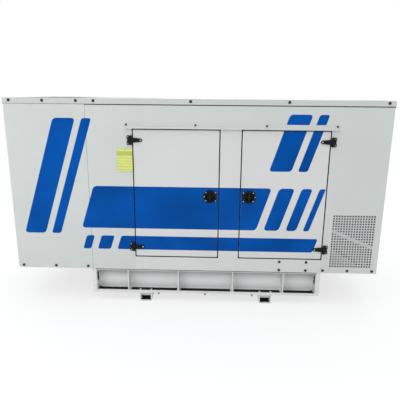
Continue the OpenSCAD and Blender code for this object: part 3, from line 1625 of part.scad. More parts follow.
front_base_rail();
rear_base_rail();
left_base_end();
right_base_end();
base_ribs();
base_feet();
fuel_tank();
floor_deck();
front_hood_panel();
front_left_panel();
front_header();
front_sill();
front_door_post();
front_vent_panel();
rear_wall();
rear_vent_panel();
rear_doors();
left_end_wall();
right_end_wall();
main_roof();
hood_roof();
canopy_lining();
discharge_grille();
drip_rails();
inlet_baffles();
inlet_foam();
inlet_felt();
door_seals();
left_door();
left_door_lining();
left_door_latch();
left_door_hinges();
right_door();
right_door_lining();
right_door_latch();
right_door_hinges();
hinge_leaves();
rear_door_hardware();
radiator_bulkhead();
radiator();
cooling_fan();
set_bearers();
rubber_mounts();
engine_block();
cylinder_head();
intake_manifold();
engine_filters();
starter_motor();
air_cleaner();
exhaust_pipe();
silencer();
flywheel_housing();
alternator();
terminal_box();
control_cabinet();
battery();
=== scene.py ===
import json
import math

import bmesh
import bpy
from mathutils import Matrix, Vector


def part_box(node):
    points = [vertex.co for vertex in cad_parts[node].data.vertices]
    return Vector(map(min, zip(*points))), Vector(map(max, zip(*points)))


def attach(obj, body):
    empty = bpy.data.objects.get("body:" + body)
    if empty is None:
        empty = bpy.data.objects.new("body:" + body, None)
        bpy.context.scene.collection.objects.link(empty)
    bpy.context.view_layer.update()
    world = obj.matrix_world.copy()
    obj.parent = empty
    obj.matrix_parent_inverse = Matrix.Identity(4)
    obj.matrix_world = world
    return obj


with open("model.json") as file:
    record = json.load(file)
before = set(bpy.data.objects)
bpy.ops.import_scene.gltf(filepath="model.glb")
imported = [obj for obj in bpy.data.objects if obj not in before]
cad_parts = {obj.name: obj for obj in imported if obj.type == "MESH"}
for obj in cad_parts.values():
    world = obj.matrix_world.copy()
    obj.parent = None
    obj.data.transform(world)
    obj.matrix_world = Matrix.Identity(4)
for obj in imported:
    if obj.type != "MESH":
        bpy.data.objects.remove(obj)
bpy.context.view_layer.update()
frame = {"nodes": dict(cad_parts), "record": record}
NODES = frame["nodes"]
SET, LEFT, RIGHT = "set", "left_door_body", "right_door_body"
FRONT, REAR, DOWN, UP = Vector((0, -1, 0)), Vector((0, 1, 0)), Vector((0, 0, -1)), Vector((0, 0, 1))
MM = 0.001

# Planes, levels and edges, from the frame

DECK_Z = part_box("front_hood_panel")[0].z
TOP_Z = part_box("main_roof")[1].z
SKIN_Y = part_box("front_hood_panel")[0].y
ROOF_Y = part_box("main_roof")[0].y
BASE_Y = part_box("front_base_rail")[0].y
BASE_LOW_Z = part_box("front_base_rail")[0].z
END_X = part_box("right_end_wall")[1].x
HOOD_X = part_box("hood_roof")[1].x
LEFT_DOOR, RIGHT_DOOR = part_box("left_door"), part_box("right_door")
LEFT_LATCH, RIGHT_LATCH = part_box("left_door_latch"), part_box("right_door_latch")
PINS = {joint["name"]: Vector(joint["pos_m"]) for joint in frame["record"]["behaviour"]["joints"]}
LEFT_PIN, RIGHT_PIN = PINS["left_door_swing"], PINS["right_door_swing"]
DOOR_GAP = 7 * MM
SHEET_T = 2.5 * MM
HINGE_INSET = 93 * MM
BASE_BOLT_IN = 12 * MM
LATCH_R = 57 * MM

# Camera, fitted to the photo: turns in degrees, place from skin and deck, focal length in pixels

PITCH, YAW, ROLL = 14.17, -1.6, 0.51
EYE_X, EYE_AWAY, EYE_UP = 0.1307, 3.4775, 1.5283
FOCAL_PX, PHOTO_PX, SENSOR = 419, 400, 36

# Light: strength of the sky low and overhead, lamps as (name, place, size, power), and the floor

SKY_HORIZON, SKY_ZENITH = 0.26, 1.62
LAMPS = (("key", (-4.0, -4.5, 4.0), 4.0, 90), ("back", (1.0, 6.0, 5.0), 5.0, 60))
FLOOR_REACH, FLOOR_TONE, GLOW_SHARE = 30, (0.86, 0.86, 0.86, 1), 0.7


# Camera, light and floor

def make_camera():
    """The photograph's viewpoint: eye height, a little right of the middle, looking slightly down."""
    pitch, yaw, roll = (math.radians(a) for a in (PITCH, YAW, ROLL))
    ahead = Vector((math.sin(yaw) * math.cos(pitch), math.cos(yaw) * math.cos(pitch), -math.sin(pitch)))
    level = Vector((math.cos(yaw), -math.sin(yaw), 0))
    up = level.cross(ahead)
    across = level * math.cos(roll) + up * math.sin(roll)
    up = up * math.cos(roll) - level * math.sin(roll)
    data = bpy.data.cameras.new("camera")
    data.sensor_width = SENSOR
    data.lens = SENSOR * FOCAL_PX / PHOTO_PX
    camera = bpy.data.objects.new("camera", data)
    bpy.context.scene.collection.objects.link(camera)
    pose = Matrix((across, up, -ahead)).transposed().to_4x4()
    pose.translation = Vector((EYE_X, SKIN_Y - EYE_AWAY, DECK_Z + EYE_UP))
    camera.matrix_world = pose
    bpy.context.scene.camera = camera


def backdrop_rays(tree):
    """1 for the rays that see the white background: from the camera, mirrored and through glass."""
    path = tree.nodes.new("ShaderNodeLightPath")
    seen = path.outputs["Is Camera Ray"]
    for kind in ("Is Glossy Ray", "Is Transmission Ray"):
        either = tree.nodes.new("ShaderNodeMath")
        either.operation = "MAXIMUM"
        tree.links.new(seen, either.inputs[0])
        tree.links.new(path.outputs[kind], either.inputs[1])
        seen = either.outputs[0]
    return seen


def light_scene():
    """An overcast sky, bright overhead and dim at the horizon, white to the camera, and two weak lamps."""
    bpy.context.scene.view_settings.view_transform = "Standard"
    world = bpy.data.worlds.new("sky")
    bpy.context.scene.world = world
    world.use_nodes = True
    tree = world.node_tree
    tree.nodes.clear()
    out = tree.nodes.new("ShaderNodeOutputWorld")
    sky, white = tree.nodes.new("ShaderNodeBackground"), tree.nodes.new("ShaderNodeBackground")
    sky.inputs["Color"].default_value = (0.97, 0.99, 1.0, 1)
    white.inputs["Color"].default_value = (1, 1, 1, 1)
    toward, parts = tree.nodes.new("ShaderNodeTexCoord"), tree.nodes.new("ShaderNodeSeparateXYZ")
    rise = tree.nodes.new("ShaderNodeMapRange")
    rise.inputs["To Min"].default_value, rise.inputs["To Max"].default_value = SKY_HORIZON, SKY_ZENITH
    mix = tree.nodes.new("ShaderNodeMixShader")
    tree.links.new(toward.outputs["Generated"], parts.inputs[0])
    tree.links.new(parts.outputs["Z"], rise.inputs["Value"])
    tree.links.new(rise.outputs["Result"], sky.inputs["Strength"])
    tree.links.new(backdrop_rays(tree), mix.inputs["Fac"])
    tree.links.new(sky.outputs[0], mix.inputs[1])
    tree.links.new(white.outputs[0], mix.inputs[2])
    tree.links.new(mix.outputs[0], out.inputs["Surface"])
    target = Vector((0, 0, TOP_Z / 2))
    for name, place, size, power in LAMPS:
        data = bpy.data.lights.new(name, "AREA")
        data.size, data.energy = size, power
        lamp = bpy.data.objects.new(name, data)
        bpy.context.scene.collection.objects.link(lamp)
        lamp.location = place
        lamp.rotation_mode = "QUATERNION"
        lamp.rotation_quaternion = (target - lamp.location).to_track_quat("-Z", "Y")


# Materials

class Shader:
    """A node material under construction, in the object's own coordinates."""

    def __init__(self, name, rough=0.5, metal=0.0, coat=0.0):
        self.material = bpy.data.materials.new(name)
        self.material.use_nodes = True
        self.tree = self.material.node_tree
        self.bsdf = self.tree.nodes["Principled BSDF"]
        self.bsdf.inputs["Roughness"].default_value = rough
        self.bsdf.inputs["Metallic"].default_value = metal
        self.bsdf.inputs["Coat Weight"].default_value = coat
        self.place = self.add("ShaderNodeTexCoord").outputs["Object"]

    def add(self, kind, **settings):
        node = self.tree.nodes.new(kind)
        for key, value in settings.items():
            setattr(node, key, value)
        return node

    def link(self, out, into):
        self.tree.links.new(out, into)

    def put(self, socket, value):
        """Links an output, or sets a plain value."""
        if isinstance(value, bpy.types.NodeSocket):
            self.link(value, socket)
        elif isinstance(value, tuple) and len(value) == 3 and socket.type == "RGBA":
            socket.default_value = (*value, 1)
        else:
            socket.default_value = value

    def noise(self, scale, detail=4.0, stretch=(1, 1, 1)):
        mapping = self.add("ShaderNodeMapping")
        mapping.inputs["Scale"].default_value = stretch
        self.link(self.place, mapping.inputs["Vector"])
        node = self.add("ShaderNodeTexNoise")
        node.inputs["Scale"].default_value = scale
        node.inputs["Detail"].default_value = detail
        self.link(mapping.outputs[0], node.inputs["Vector"])
        return node.outputs["Fac"]

    def spread(self, value, low, high, to_low=0.0, to_high=1.0):
        node = self.add("ShaderNodeMapRange")
        for key, number in (("From Min", low), ("From Max", high), ("To Min", to_low), ("To Max", to_high)):
            node.inputs[key].default_value = number
        self.put(node.inputs["Value"], value)
        return node.outputs["Result"]

    def math(self, operation, a, b):
        node = self.add("ShaderNodeMath", operation=operation)
        self.put(node.inputs[0], a)
        self.put(node.inputs[1], b)
        return node.outputs[0]

    def mix(self, share, a, b):
        node = self.add("ShaderNodeMix", data_type="RGBA")
        self.put(node.inputs["Factor"], share)
        self.put(node.inputs[6], a)
        self.put(node.inputs[7], b)
        return node.outputs[2]

    def axis(self, name):
        """One of the object's own coordinates."""
        node = self.add("ShaderNodeSeparateXYZ")
        self.link(self.place, node.inputs[0])
        return node.outputs[name]

    def height(self):
        """Height above the ground."""
        return self.axis("Z")

    def within(self, limit):
        """1 nearer to the middle plane than a distance, 0 outside it."""
        return self.math("LESS_THAN", self.math("ABSOLUTE", self.axis("Y"), 0.0), limit)

    def edges(self, radius):
        """1 along sharp edges and corners, 0 on the flat."""
        bevel = self.add("ShaderNodeBevel", samples=6)
        bevel.inputs["Radius"].default_value = radius
        flat = self.add("ShaderNodeNewGeometry")
        dot = self.add("ShaderNodeVectorMath", operation="DOT_PRODUCT")
        self.link(bevel.outputs[0], dot.inputs[0])
        self.link(flat.outputs["Normal"], dot.inputs[1])
        return self.spread(dot.outputs["Value"], 0.995, 0.75)

    def bump(self, height, strength, distance):
        node = self.add("ShaderNodeBump")
        node.inputs["Strength"].default_value = strength
        node.inputs["Distance"].default_value = distance
        self.link(height, node.inputs["Height"])
        self.link(node.outputs[0], self.bsdf.inputs["Normal"])

    def colour(self, value):
        self.put(self.bsdf.inputs["Base Color"], value)

    def roughness(self, value):
        self.put(self.bsdf.inputs["Roughness"], value)


def make_floor():
    """A pale floor that reads white round the object and keeps its shadow."""
    corners = [(x * FLOOR_REACH, y * FLOOR_REACH, 0) for x, y in ((-1, -1), (1, -1), (1, 1), (-1, 1))]
    mesh = bpy.data.meshes.new("floor")
    mesh.from_pydata(corners, [], [(0, 1, 2, 3)])
    floor = bpy.data.objects.new("floor", mesh)
    bpy.context.scene.collection.objects.link(floor)
    s = Shader("floor_pale")
    s.tree.nodes.remove(s.bsdf)
    pale, glow = s.add("ShaderNodeBsdfDiffuse"), s.add("ShaderNodeEmission")
    pale.inputs["Color"].default_value = FLOOR_TONE
    glow.inputs["Strength"].default_value = 1.0
    shown = s.add("ShaderNodeMixShader")
    s.link(s.math("MULTIPLY", backdrop_rays(s.tree), GLOW_SHARE), shown.inputs["Fac"])
    s.link(pale.outputs[0], shown.inputs[1])
    s.link(glow.outputs[0], shown.inputs[2])
    s.link(shown.outputs[0], s.tree.nodes["Material Output"].inputs["Surface"])
    mesh.materials.append(s.material)


def darker(tone, share):
    return tuple(c * share for c in tone)


def sheet_paint(name, tone, dirt, dust_low, dust_high, web=None):
    """Satin sheet-metal paint: faint mottling, rain streaks, dust towards the bottom and dirt at edges.

    A web is a recessed wall as (tone, distance from the middle plane, level where its painted shade starts,
    top):
    its tone is painted lighter to stand in for light falling on it, and painted shade darkens it under the
    flange above it.
    """
    s = Shader(name, coat=0.25)
    s.bsdf.inputs["Coat Roughness"].default_value = 0.22
    base = s.mix(s.spread(s.noise(1.3, 3), 0.35, 0.7), tone, darker(tone, 0.95))
    streak = s.spread(s.noise(9, 5, (1, 1, 0.07)), 0.56, 0.82, 0, 0.16 * dirt)
    base = s.mix(streak, base, (0.46, 0.45, 0.41))
    low = s.spread(s.height(), dust_high, dust_low)
    speckle = s.spread(s.noise(34, 6), 0.42, 0.75, 0.05 * dirt, 0.4 * dirt)
    base = s.mix(s.math("MULTIPLY", low, speckle), base, (0.40, 0.37, 0.31))
    base = s.mix(s.spread(s.edges(0.004), 0, 1, 0, 0.22 * dirt), base, (0.38, 0.37, 0.34))
    # Painted light and shade on the web: a lighter tone stands in for light on it, and darkening under the
    # upper flange stands in for its shadow
    if web:
        lit_web_tone, reach, shade_low, shade_high = web
        web_shade = s.math("POWER", s.spread(s.height(), shade_low, shade_high), 1.7)
        lit_web = s.mix(s.spread(s.noise(3, 4), 0.35, 0.7), lit_web_tone, darker(lit_web_tone, 0.95))
        base = s.mix(s.within(reach), base, s.mix(web_shade, lit_web, darker(tone, 0.42)))
    s.colour(base)
    s.roughness(s.spread(s.noise(5, 5), 0.3, 0.7, 0.30, 0.44))
    waves = s.math("ADD", s.noise(420, 2), s.math("MULTIPLY", s.noise(2.1, 2), 9.0))
    s.bump(waves, 0.05, 0.0006)
    return s.material


def plain_paint(name, tone, rough=0.45, coat=0.0, metal=0.0, worn=(0.35, 0.34, 0.33), wear=0.5, grain=600,
                lumps=0.06, gloss=0.5):
    """Paint or casting: mottled colour, uneven gloss, fine grain and wear along the edges."""
    s = Shader(name, metal=metal, coat=coat)
    s.bsdf.inputs["Specular IOR Level"].default_value = gloss
    base = s.mix(s.spread(s.noise(11, 6), 0.3, 0.72), tone, darker(tone, 0.72))
    rub = s.math("MULTIPLY", s.edges(0.0035), s.spread(s.noise(45, 5), 0.4, 0.65))
    s.colour(s.mix(s.spread(rub, 0, 1, 0, wear), base, worn))
    s.roughness(s.spread(s.noise(26, 6), 0.3, 0.7, rough - 0.08, rough + 0.12))
    s.bump(s.noise(grain, 3), lumps, 0.001)
    return s.material


def foam(name, hollow, crest):
    """Open-cell acoustic foam with a low egg-crate surface."""
    s = Shader(name, rough=0.95)
    cells = s.add("ShaderNodeTexVoronoi", feature="SMOOTH_F1")
    cells.inputs["Scale"].default_value = 26
    s.link(s.place, cells.inputs["Vector"])
    share = s.spread(cells.outputs["Distance"], 0.0, 0.8)
    s.colour(s.mix(share, hollow, crest))
    hollows = s.math("MULTIPLY", cells.outputs["Distance"], -1.0)
    s.bump(s.math("ADD", hollows, s.math("MULTIPLY", s.noise(900, 2), 0.12)), 0.9, 0.012)
    return s.material


def felt(name):
    """Grey needled felt: tangled fibres in two scales, kept dark, also as painted shade for the dim space
    behind the inlet holes.
    """
    s = Shader(name, rough=0.95)
    fibres = s.noise(240, 6, (1, 1, 3))
    base = s.mix(s.spread(fibres, 0.35, 0.65), (0.09, 0.09, 0.095), (0.15, 0.15, 0.155))
    s.colour(s.mix(s.spread(s.noise(12, 4), 0.4, 0.7), base, (0.11, 0.105, 0.10)))
    s.bump(fibres, 0.4, 0.003)
    return s.material


def inlet_sheet(name, tone, zinc, split_y):
    """White paint on the baffles, and dull zinc on the splitter that stands behind them."""
    s = Shader(name, rough=0.5)
    spangle = s.add("ShaderNodeTexVoronoi")
    spangle.inputs["Scale"].default_value = 70
    s.link(s.place, spangle.inputs["Vector"])
    flakes = s.mix(spangle.outputs["Distance"], zinc, darker(zinc, 0.7))
    paint = s.mix(s.spread(s.noise(6, 4), 0.35, 0.7), tone, darker(tone, 0.92))
    s.colour(s.mix(s.within(split_y), paint, flakes))
    s.roughness(s.spread(s.noise(18, 5), 0.3, 0.7, 0.42, 0.58))
    return s.material


def radiator_core(name):
    """Dusty black core with fine level fins."""
    s = Shader(name, rough=0.6)
    fins = s.add("ShaderNodeTexWave", wave_type="BANDS", bands_direction="Z")
    fins.inputs["Scale"].default_value = 55
    s.link(s.place, fins.inputs["Vector"])
    base = s.mix(fins.outputs["Fac"], (0.006, 0.006, 0.006), (0.035, 0.036, 0.038))
    s.colour(s.mix(s.spread(s.noise(7, 5), 0.45, 0.8, 0, 0.5), base, (0.10, 0.09, 0.075)))
    s.bump(fins.outputs["Fac"], 0.5, 0.003)
    return s.material


def brushed(name, tone, rough, heat=None):
    """Bare or aluminised metal, with drawn lines and, on the exhaust, heat browning."""
    s = Shader(name, metal=0.85)
    lines = s.noise(60, 5, (1, 14, 14))
    base = s.mix(s.spread(lines, 0.3, 0.7), tone, darker(tone, 0.75))
    if heat:
        base = s.mix(s.spread(s.noise(9, 6), 0.35, 0.62), base, heat)
    s.colour(base)
    s.roughness(s.spread(s.noise(30, 5), 0.3, 0.7, rough - 0.08, rough + 0.14))
    s.bump(lines, 0.06, 0.001)
    return s.material


def vinyl(name, tone):
    """Glossy cut vinyl, with faint waves where it was rubbed down."""
    s = Shader(name)
    s.bsdf.inputs["Specular IOR Level"].default_value = 0.035
    s.colour(s.mix(s.spread(s.noise(2.3, 3), 0.35, 0.65), tone, darker(tone, 0.72)))
    s.roughness(s.spread(s.noise(7, 5), 0.3, 0.7, 0.26, 0.40))
    s.bump(s.noise(5, 3), 0.05, 0.01)
    return s.material


def card(name, tone, band_tone, band_low, band_high, rule_pitch):
    """Matt card with a tinted band between two levels, ruled lines below it and faint fibres."""
    rule_share, ink = 0.12, 0.7
    s = Shader(name, rough=0.75)
    z = s.height()
    above = s.math("GREATER_THAN", z, band_low)
    band = s.math("MULTIPLY", above, s.math("LESS_THAN", z, band_high))
    base = s.mix(s.spread(s.noise(22, 5), 0.3, 0.7), tone, darker(tone, 0.9))
    rung = s.math("FRACT", s.math("DIVIDE", z, rule_pitch), 0.0)
    rule = s.math("MULTIPLY", s.math("LESS_THAN", rung, rule_share), s.math("LESS_THAN", z, band_low))
    base = s.mix(s.math("MULTIPLY", rule, ink), base, darker(band_tone, 0.5))
    s.colour(s.mix(band, base, band_tone))
    s.bump(s.noise(500, 3), 0.08, 0.0005)
    return s.material


def glass(name, tone):
    """Dark display window with a smooth face and faint smears."""
    s = Shader(name, coat=1.0)
    s.colour(s.mix(s.spread(s.noise(14, 4), 0.4, 0.7), tone, darker(tone, 0.6)))
    s.roughness(s.spread(s.noise(30, 5), 0.3, 0.7, 0.08, 0.22))
    return s.material


# Colours, and the levels and depths that some materials follow

WHITE = (0.580, 0.606, 0.592)
ROOF_WHITE = (0.550, 0.570, 0.560)
DOOR_WHITE = (0.638, 0.636, 0.624)
BASE_WHITE = (0.735, 0.74, 0.73)
# Painted light: the rails' recessed web gets a lighter white than the base, standing in for light falling on
# it
WEB_LIT_WHITE = (0.885, 0.90, 0.89)
BLUE = (0.001, 0.083, 0.39)
YELLOW = (0.68, 0.73, 0.20)
YELLOW_BAND = (0.45, 0.50, 0.11)

TAG_LOW, TAG_HIGH = DECK_Z + 890 * MM, DECK_Z + 1085 * MM
TAG_BAND_LOW, TAG_BAND_HIGH, TAG_RULE = TAG_HIGH - 60 * MM, TAG_HIGH - 25 * MM, 24 * MM
DUST_TOP, BASE_DUST_TOP = DECK_Z + 280 * MM, DECK_Z + 100 * MM
SPLITTER_FRONT = 410 * MM
# Depth of the rails' web, and the levels between which painted shade darkens it under the upper flange
WEB_FRONT = -BASE_Y - 98 * MM
WEB_SHADE_START, WEB_TOP = DECK_Z - 155 * MM, DECK_Z - 50 * MM

MATERIALS = {
    "canopy_white": sheet_paint("canopy_white", WHITE, 0.3, DECK_Z, DUST_TOP),
    "door_white": sheet_paint("door_white", DOOR_WHITE, 0.15, DECK_Z, DUST_TOP),
    "roof_white": sheet_paint("roof_white", ROOF_WHITE, 0.3, DECK_Z, DUST_TOP),
    "base_paint": sheet_paint("base_paint", BASE_WHITE, 0.6, 0.0, BASE_DUST_TOP),
    # Base paint on the rails, with painted light and painted shade on their recessed web
    "rail_paint_painted_light": sheet_paint("rail_paint_painted_light", BASE_WHITE, 0.6, 0.0, BASE_DUST_TOP,
                              (WEB_LIT_WHITE, WEB_FRONT, WEB_SHADE_START, WEB_TOP)),
    "deck_paint": plain_paint("deck_paint", (0.27, 0.27, 0.26), 0.6, wear=0.3),
    "felt": felt("felt"),
    "inlet_sheet": inlet_sheet("inlet_sheet", WHITE, (0.36, 0.365, 0.37), SPLITTER_FRONT),
    # Near-black foam on the inlet baffle, darker than the lining foam: also painted shade for the dark gap
    # under the baffle
    "inlet_foam": foam("inlet_foam", (0.004, 0.004, 0.004), (0.014, 0.014, 0.015)),
    "black_metal": plain_paint("black_metal", (0.008, 0.008, 0.009), 0.45, wear=0.12, gloss=0.15),
    "foam": foam("foam", (0.018, 0.018, 0.02), (0.055, 0.055, 0.058)),
    "rubber": plain_paint("rubber", (0.012, 0.012, 0.013), 0.72, wear=0.1,
                          worn=(0.04, 0.04, 0.04), gloss=0.1),
    "grille_steel": plain_paint("grille_steel", (0.40, 0.41, 0.41), 0.45, wear=0.4),
    "radiator_black": radiator_core("radiator_black"),
    "fan_plastic": plain_paint("fan_plastic", (0.78, 0.46, 0.03), 0.5, wear=0.2),
    "engine_paint": plain_paint("engine_paint", (0.085, 0.092, 0.10), 0.46, 0.2, grain=220, lumps=0.14),
    "cast_alloy": plain_paint("cast_alloy", (0.36, 0.37, 0.38), 0.5, metal=0.6, grain=260, lumps=0.16),
    "filter_paint": plain_paint("filter_paint", (0.68, 0.64, 0.56), 0.3, 0.4, wear=0.3),
    "rusty_pipe": brushed("rusty_pipe", (0.30, 0.22, 0.17), 0.6, heat=(0.16, 0.075, 0.035)),
    "silencer_steel": brushed("silencer_steel", (0.52, 0.52, 0.52), 0.42),
    "alternator_paint": plain_paint("alternator_paint", (0.035, 0.10, 0.24), 0.42, 0.2, grain=260,
                                    lumps=0.12),
    "cabinet_paint": plain_paint("cabinet_paint", (0.50, 0.51, 0.51), 0.5, wear=0.25, grain=380, lumps=0.12),
    "black_plastic": plain_paint("black_plastic", (0.007, 0.008, 0.009), 0.42, wear=0.12,
                                 worn=(0.05, 0.05, 0.05), gloss=0.15),
    "livery_blue": vinyl("livery_blue", BLUE),
    "bolt_steel": brushed("bolt_steel", (0.05, 0.05, 0.055), 0.45),
    "screw_steel": brushed("screw_steel", (0.68, 0.68, 0.68), 0.30),
    "tag_card": card("tag_card", YELLOW, YELLOW_BAND, TAG_BAND_LOW, TAG_BAND_HIGH, TAG_RULE),
    "red_plastic": plain_paint("red_plastic", (0.50, 0.012, 0.010), 0.35, 0.3, wear=0.1),
    "green_plastic": plain_paint("green_plastic", (0.015, 0.26, 0.05), 0.35, 0.3, wear=0.1),
    "yellow_plastic": plain_paint("yellow_plastic", (0.72, 0.50, 0.02), 0.4, wear=0.1),
    "display_glass": glass("display_glass", (0.016, 0.030, 0.026)),
}

# Nodes that wear another shade than their slot's

SHADES = {
    "door_white": ("left_door", "right_door", "rear_doors", "front_door_post", "front_sill"),
    "roof_white": ("main_roof", "hood_roof"),
    "rail_paint_painted_light": ("front_base_rail", "rear_base_rail"),
    "deck_paint": ("floor_deck",),
    "inlet_sheet": ("inlet_baffles",),
    "inlet_foam": ("inlet_foam",),
}


def dress_nodes():
    """Each CAD node wears the material of its slot in the record, or its own shade of it."""
    for part in frame["record"]["subparts"]:
        mesh = NODES[part["node"]].data
        mesh.materials.clear()
        mesh.materials.append(MATERIALS[part["material_slot"]])
    for material, nodes in SHADES.items():
        for node in nodes:
            NODES[node].data.materials[0] = MATERIALS[material]


# Making pieces

SHARP_EDGE = math.radians(35)


def new_piece(name, bm, body, material):
    """An object from a finished bmesh, smooth except at sharp edges, riding on a body."""
    bmesh.ops.recalc_face_normals(bm, faces=bm.faces)
    mesh = bpy.data.meshes.new(name)
    bm.to_mesh(mesh)
    bm.free()
    mesh.shade_smooth()
    mesh.set_sharp_from_angle(angle=SHARP_EDGE)
    mesh.materials.append(MATERIALS[material])
    piece = bpy.data.objects.new(name, mesh)
    bpy.context.scene.collection.objects.link(piece)
    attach(piece, body)


def facing(at, normal):
    """A frame at a point with its Z along a normal."""
    pose = Vector(normal).to_track_quat("Z", "Y").to_matrix().to_4x4()
    pose.translation = at
    return pose


def in_mm(steps):
    """Pairs of lengths that are given in millimetres."""
    return [(a * MM, b * MM) for a, b in steps]


def join_rings(bm, ring, after):
    """Faces between two rings of as many vertices."""
    for i in range(len(ring)):
        j = (i + 1) % len(ring)
        bm.faces.new((ring[i], ring[j], after[j], after[i]))


def add_solid(bm, rings):
    """A closed solid through rings of vertices, with a face at both ends."""
    for ring, after in zip(rings, rings[1:]):
        join_rings(bm, ring, after)
    bm.faces.new(rings[0])
    bm.faces.new(rings[-1])


def circle(bm, pose, radius, height, sides):
    """A ring of vertices round the Z of a frame."""
    turns = [i * math.tau / sides for i in range(sides)]
    points = [Vector((radius * math.cos(a), radius * math.sin(a), height)) for a in turns]
    return [bm.verts.new(pose @ point) for point in points]


def add_turned(bm, pose, profile, sides):
    """A turned solid: (radius, height) steps of its profile round the Z of a frame."""
    add_solid(bm, [circle(bm, pose, radius, height, sides) for radius, height in profile])


def add_hex_bolt(bm, at, normal, across):
    """Hexagon bolt: a chamfered washer, a hexagon head and its round crown."""
    pose = facing(at, normal)
    head, washer, rise = across / 2 * 1.12, across * 0.72, across * 0.13
    add_turned(bm, pose, ((washer, 0), (washer, rise * 0.8), (washer * 0.95, rise)), 20)
    add_turned(bm, pose, ((head, rise), (head, across * 0.46)), 6)
    crown = ((head * 0.86, across * 0.45), (head * 0.80, across * 0.50), (head * 0.5, across * 0.52))
    add_turned(bm, pose, crown, 16)


def add_screw(bm, at, normal, radius=6 * MM):
    """Button-head screw with a round socket."""
    steps = ((1.0, 0.0), (0.98, 0.18), (0.82, 0.40), (0.55, 0.52), (0.42, 0.54), (0.40, 0.22))
    add_turned(bm, facing(at, normal), [(r * radius, h * radius) for r, h in steps], 18)


def rounded_outline(corners, radius, steps=6):
    """A convex outline in X and Z with its corners rounded."""
    outline = []
    for before, here, after in zip(corners[-1:] + corners[:-1], corners, corners[1:] + corners[:1]):
        start = here + (before - here).normalized() * radius
        end = here + (after - here).normalized() * radius
        for i in range(steps + 1):
            t = i / steps
            outline.append(start.lerp(here, t).lerp(here.lerp(end, t), t))
    return outline


def rectangle(x, z, width, height):
    """Corners of an upright rectangle about a middle."""
    return [Vector((x + i * width / 2, z + j * height / 2)) for i, j in ((-1, -1), (1, -1), (1, 1), (-1, 1))]


def add_strip(bm, loops):
    """A closed ring from loops of points: each loop joins the next, and the last the first."""
    rings = [[bm.verts.new(point) for point in loop] for loop in loops]
    for ring, after in zip(rings, rings[1:] + rings[:1]):
        join_rings(bm, ring, after)


def add_plate(bm, outline, back_y, face_y):
    """A flat plate on an upright plane, from an outline in X and Z."""
    add_solid(bm, [[bm.verts.new((point.x, y, point.y)) for point in outline] for y in (back_y, face_y)])


def add_bar(bm, x0, x1, section):
    """A straight bar along X, from its section in Y and Z."""
    add_solid(bm, [[bm.verts.new((x, y, z)) for y, z in section] for x in (x0, x1)])


def add_tube(bm, points, radius, sides):
    """A round bar through points, closed at both ends."""
    rings = []
    for i, point in enumerate(points):
        along = (points[min(i + 1, len(points) - 1)] - points[max(i - 1, 0)]).normalized()
        rings.append(circle(bm, facing(point, along), radius, 0, sides))
    add_solid(bm, rings)


# Bolts and screws

def canopy_bolts():
    """Bolts along the roof flange, drip rails, lower edge and base, alike at the front and the rear."""
    roof_row, roof_level = (-1544, -1267, -989, -845, -49, 748, 1544), 1470
    rail_row, rail_level = (-582, -9, 575, 1149), 1281
    low_row, low_level = (-1550, -1256, -966, 1124, 1339, 1555), 23
    pair_row, pair_levels = (739, 974), (97, 20)
    base_row, stud = (-337, 86, 512), in_mm(((5, 9), (5, 20), (4, 21)))
    large, small, base = 17 * MM, 12 * MM, 19 * MM
    spots = [(x, roof_level, ROOF_Y, large) for x in roof_row]
    spots += [(x, rail_level, SKIN_Y - SHEET_T, small) for x in rail_row]
    spots += [(x, low_level, SKIN_Y, large) for x in low_row]
    spots += [(x, z, SKIN_Y, large) for x in pair_row for z in pair_levels]
    bm = bmesh.new()
    for normal in (FRONT, REAR):
        for x, z, face, across in spots:
            add_hex_bolt(bm, Vector((x * MM, -normal.y * face, DECK_Z + z * MM)), normal, across)
        for x in base_row:
            at = Vector((x * MM, normal.y * (-BASE_Y - BASE_BOLT_IN), BASE_LOW_Z))
            add_hex_bolt(bm, at, DOWN, base)
            add_turned(bm, facing(at, DOWN), stud, 14)
    new_piece("canopy_bolts", bm, SET, "bolt_steel")


def hinge_levels():
    """Heights of the lower and upper hinges."""
    return (LEFT_DOOR[0].z - DOOR_GAP + HINGE_INSET, LEFT_DOOR[1].z + DOOR_GAP - HINGE_INSET)


def hinge_screws():
    """Two screws in each fixed leaf and one near the tip of each arm."""
    leaf_in, leaf_up, leaf_face = 22.5 * MM, 27 * MM, 6 * MM
    tip_out, tip_face = 79 * MM, 8 * MM
    fixed = bmesh.new()
    arms = {LEFT: bmesh.new(), RIGHT: bmesh.new()}
    for body, pin, way in ((LEFT, LEFT_PIN, 1), (RIGHT, RIGHT_PIN, -1)):
        for z in hinge_levels():
            for normal in (FRONT, REAR):
                for up in (-leaf_up, leaf_up):
                    at = Vector((pin.x - way * leaf_in, normal.y * (leaf_face - SKIN_Y), z + up))
                    add_screw(fixed, at, normal)
                tip = Vector((pin.x + way * tip_out, normal.y * (tip_face - SKIN_Y), z))
                add_screw(arms[body] if normal is FRONT else fixed, tip, normal)
    return fixed, arms


def latch_screws(fixed, arms):
    """Five screws round each latch: two at the flat, two on the round and one opposite the flat."""
    flange_t, ring, flat_in, screw_r = 5 * MM, 49.5 * MM, 8 * MM, 4.5 * MM
    flat_share, fan = 0.64, 0.8
    for body, box, way in ((LEFT, LEFT_LATCH, 1), (RIGHT, RIGHT_LATCH, -1)):
        middle = Vector((box[0].x + box[1].x, 0, box[0].z + box[1].z)) / 2
        corner = Vector((way * (LATCH_R - flat_in), 0, LATCH_R * flat_share))
        spots = [corner, Vector((corner.x, 0, -corner.z)), Vector((-way * ring, 0, 0))]
        spots += [Vector((-way * ring * math.cos(a), 0, ring * math.sin(a))) for a in (-fan, fan)]
        for normal in (FRONT, REAR):
            for spot in spots:
                at = middle + spot
                at.y = normal.y * (flange_t - SKIN_Y)
                add_screw(arms[body] if normal is FRONT else fixed, at, normal, screw_r)


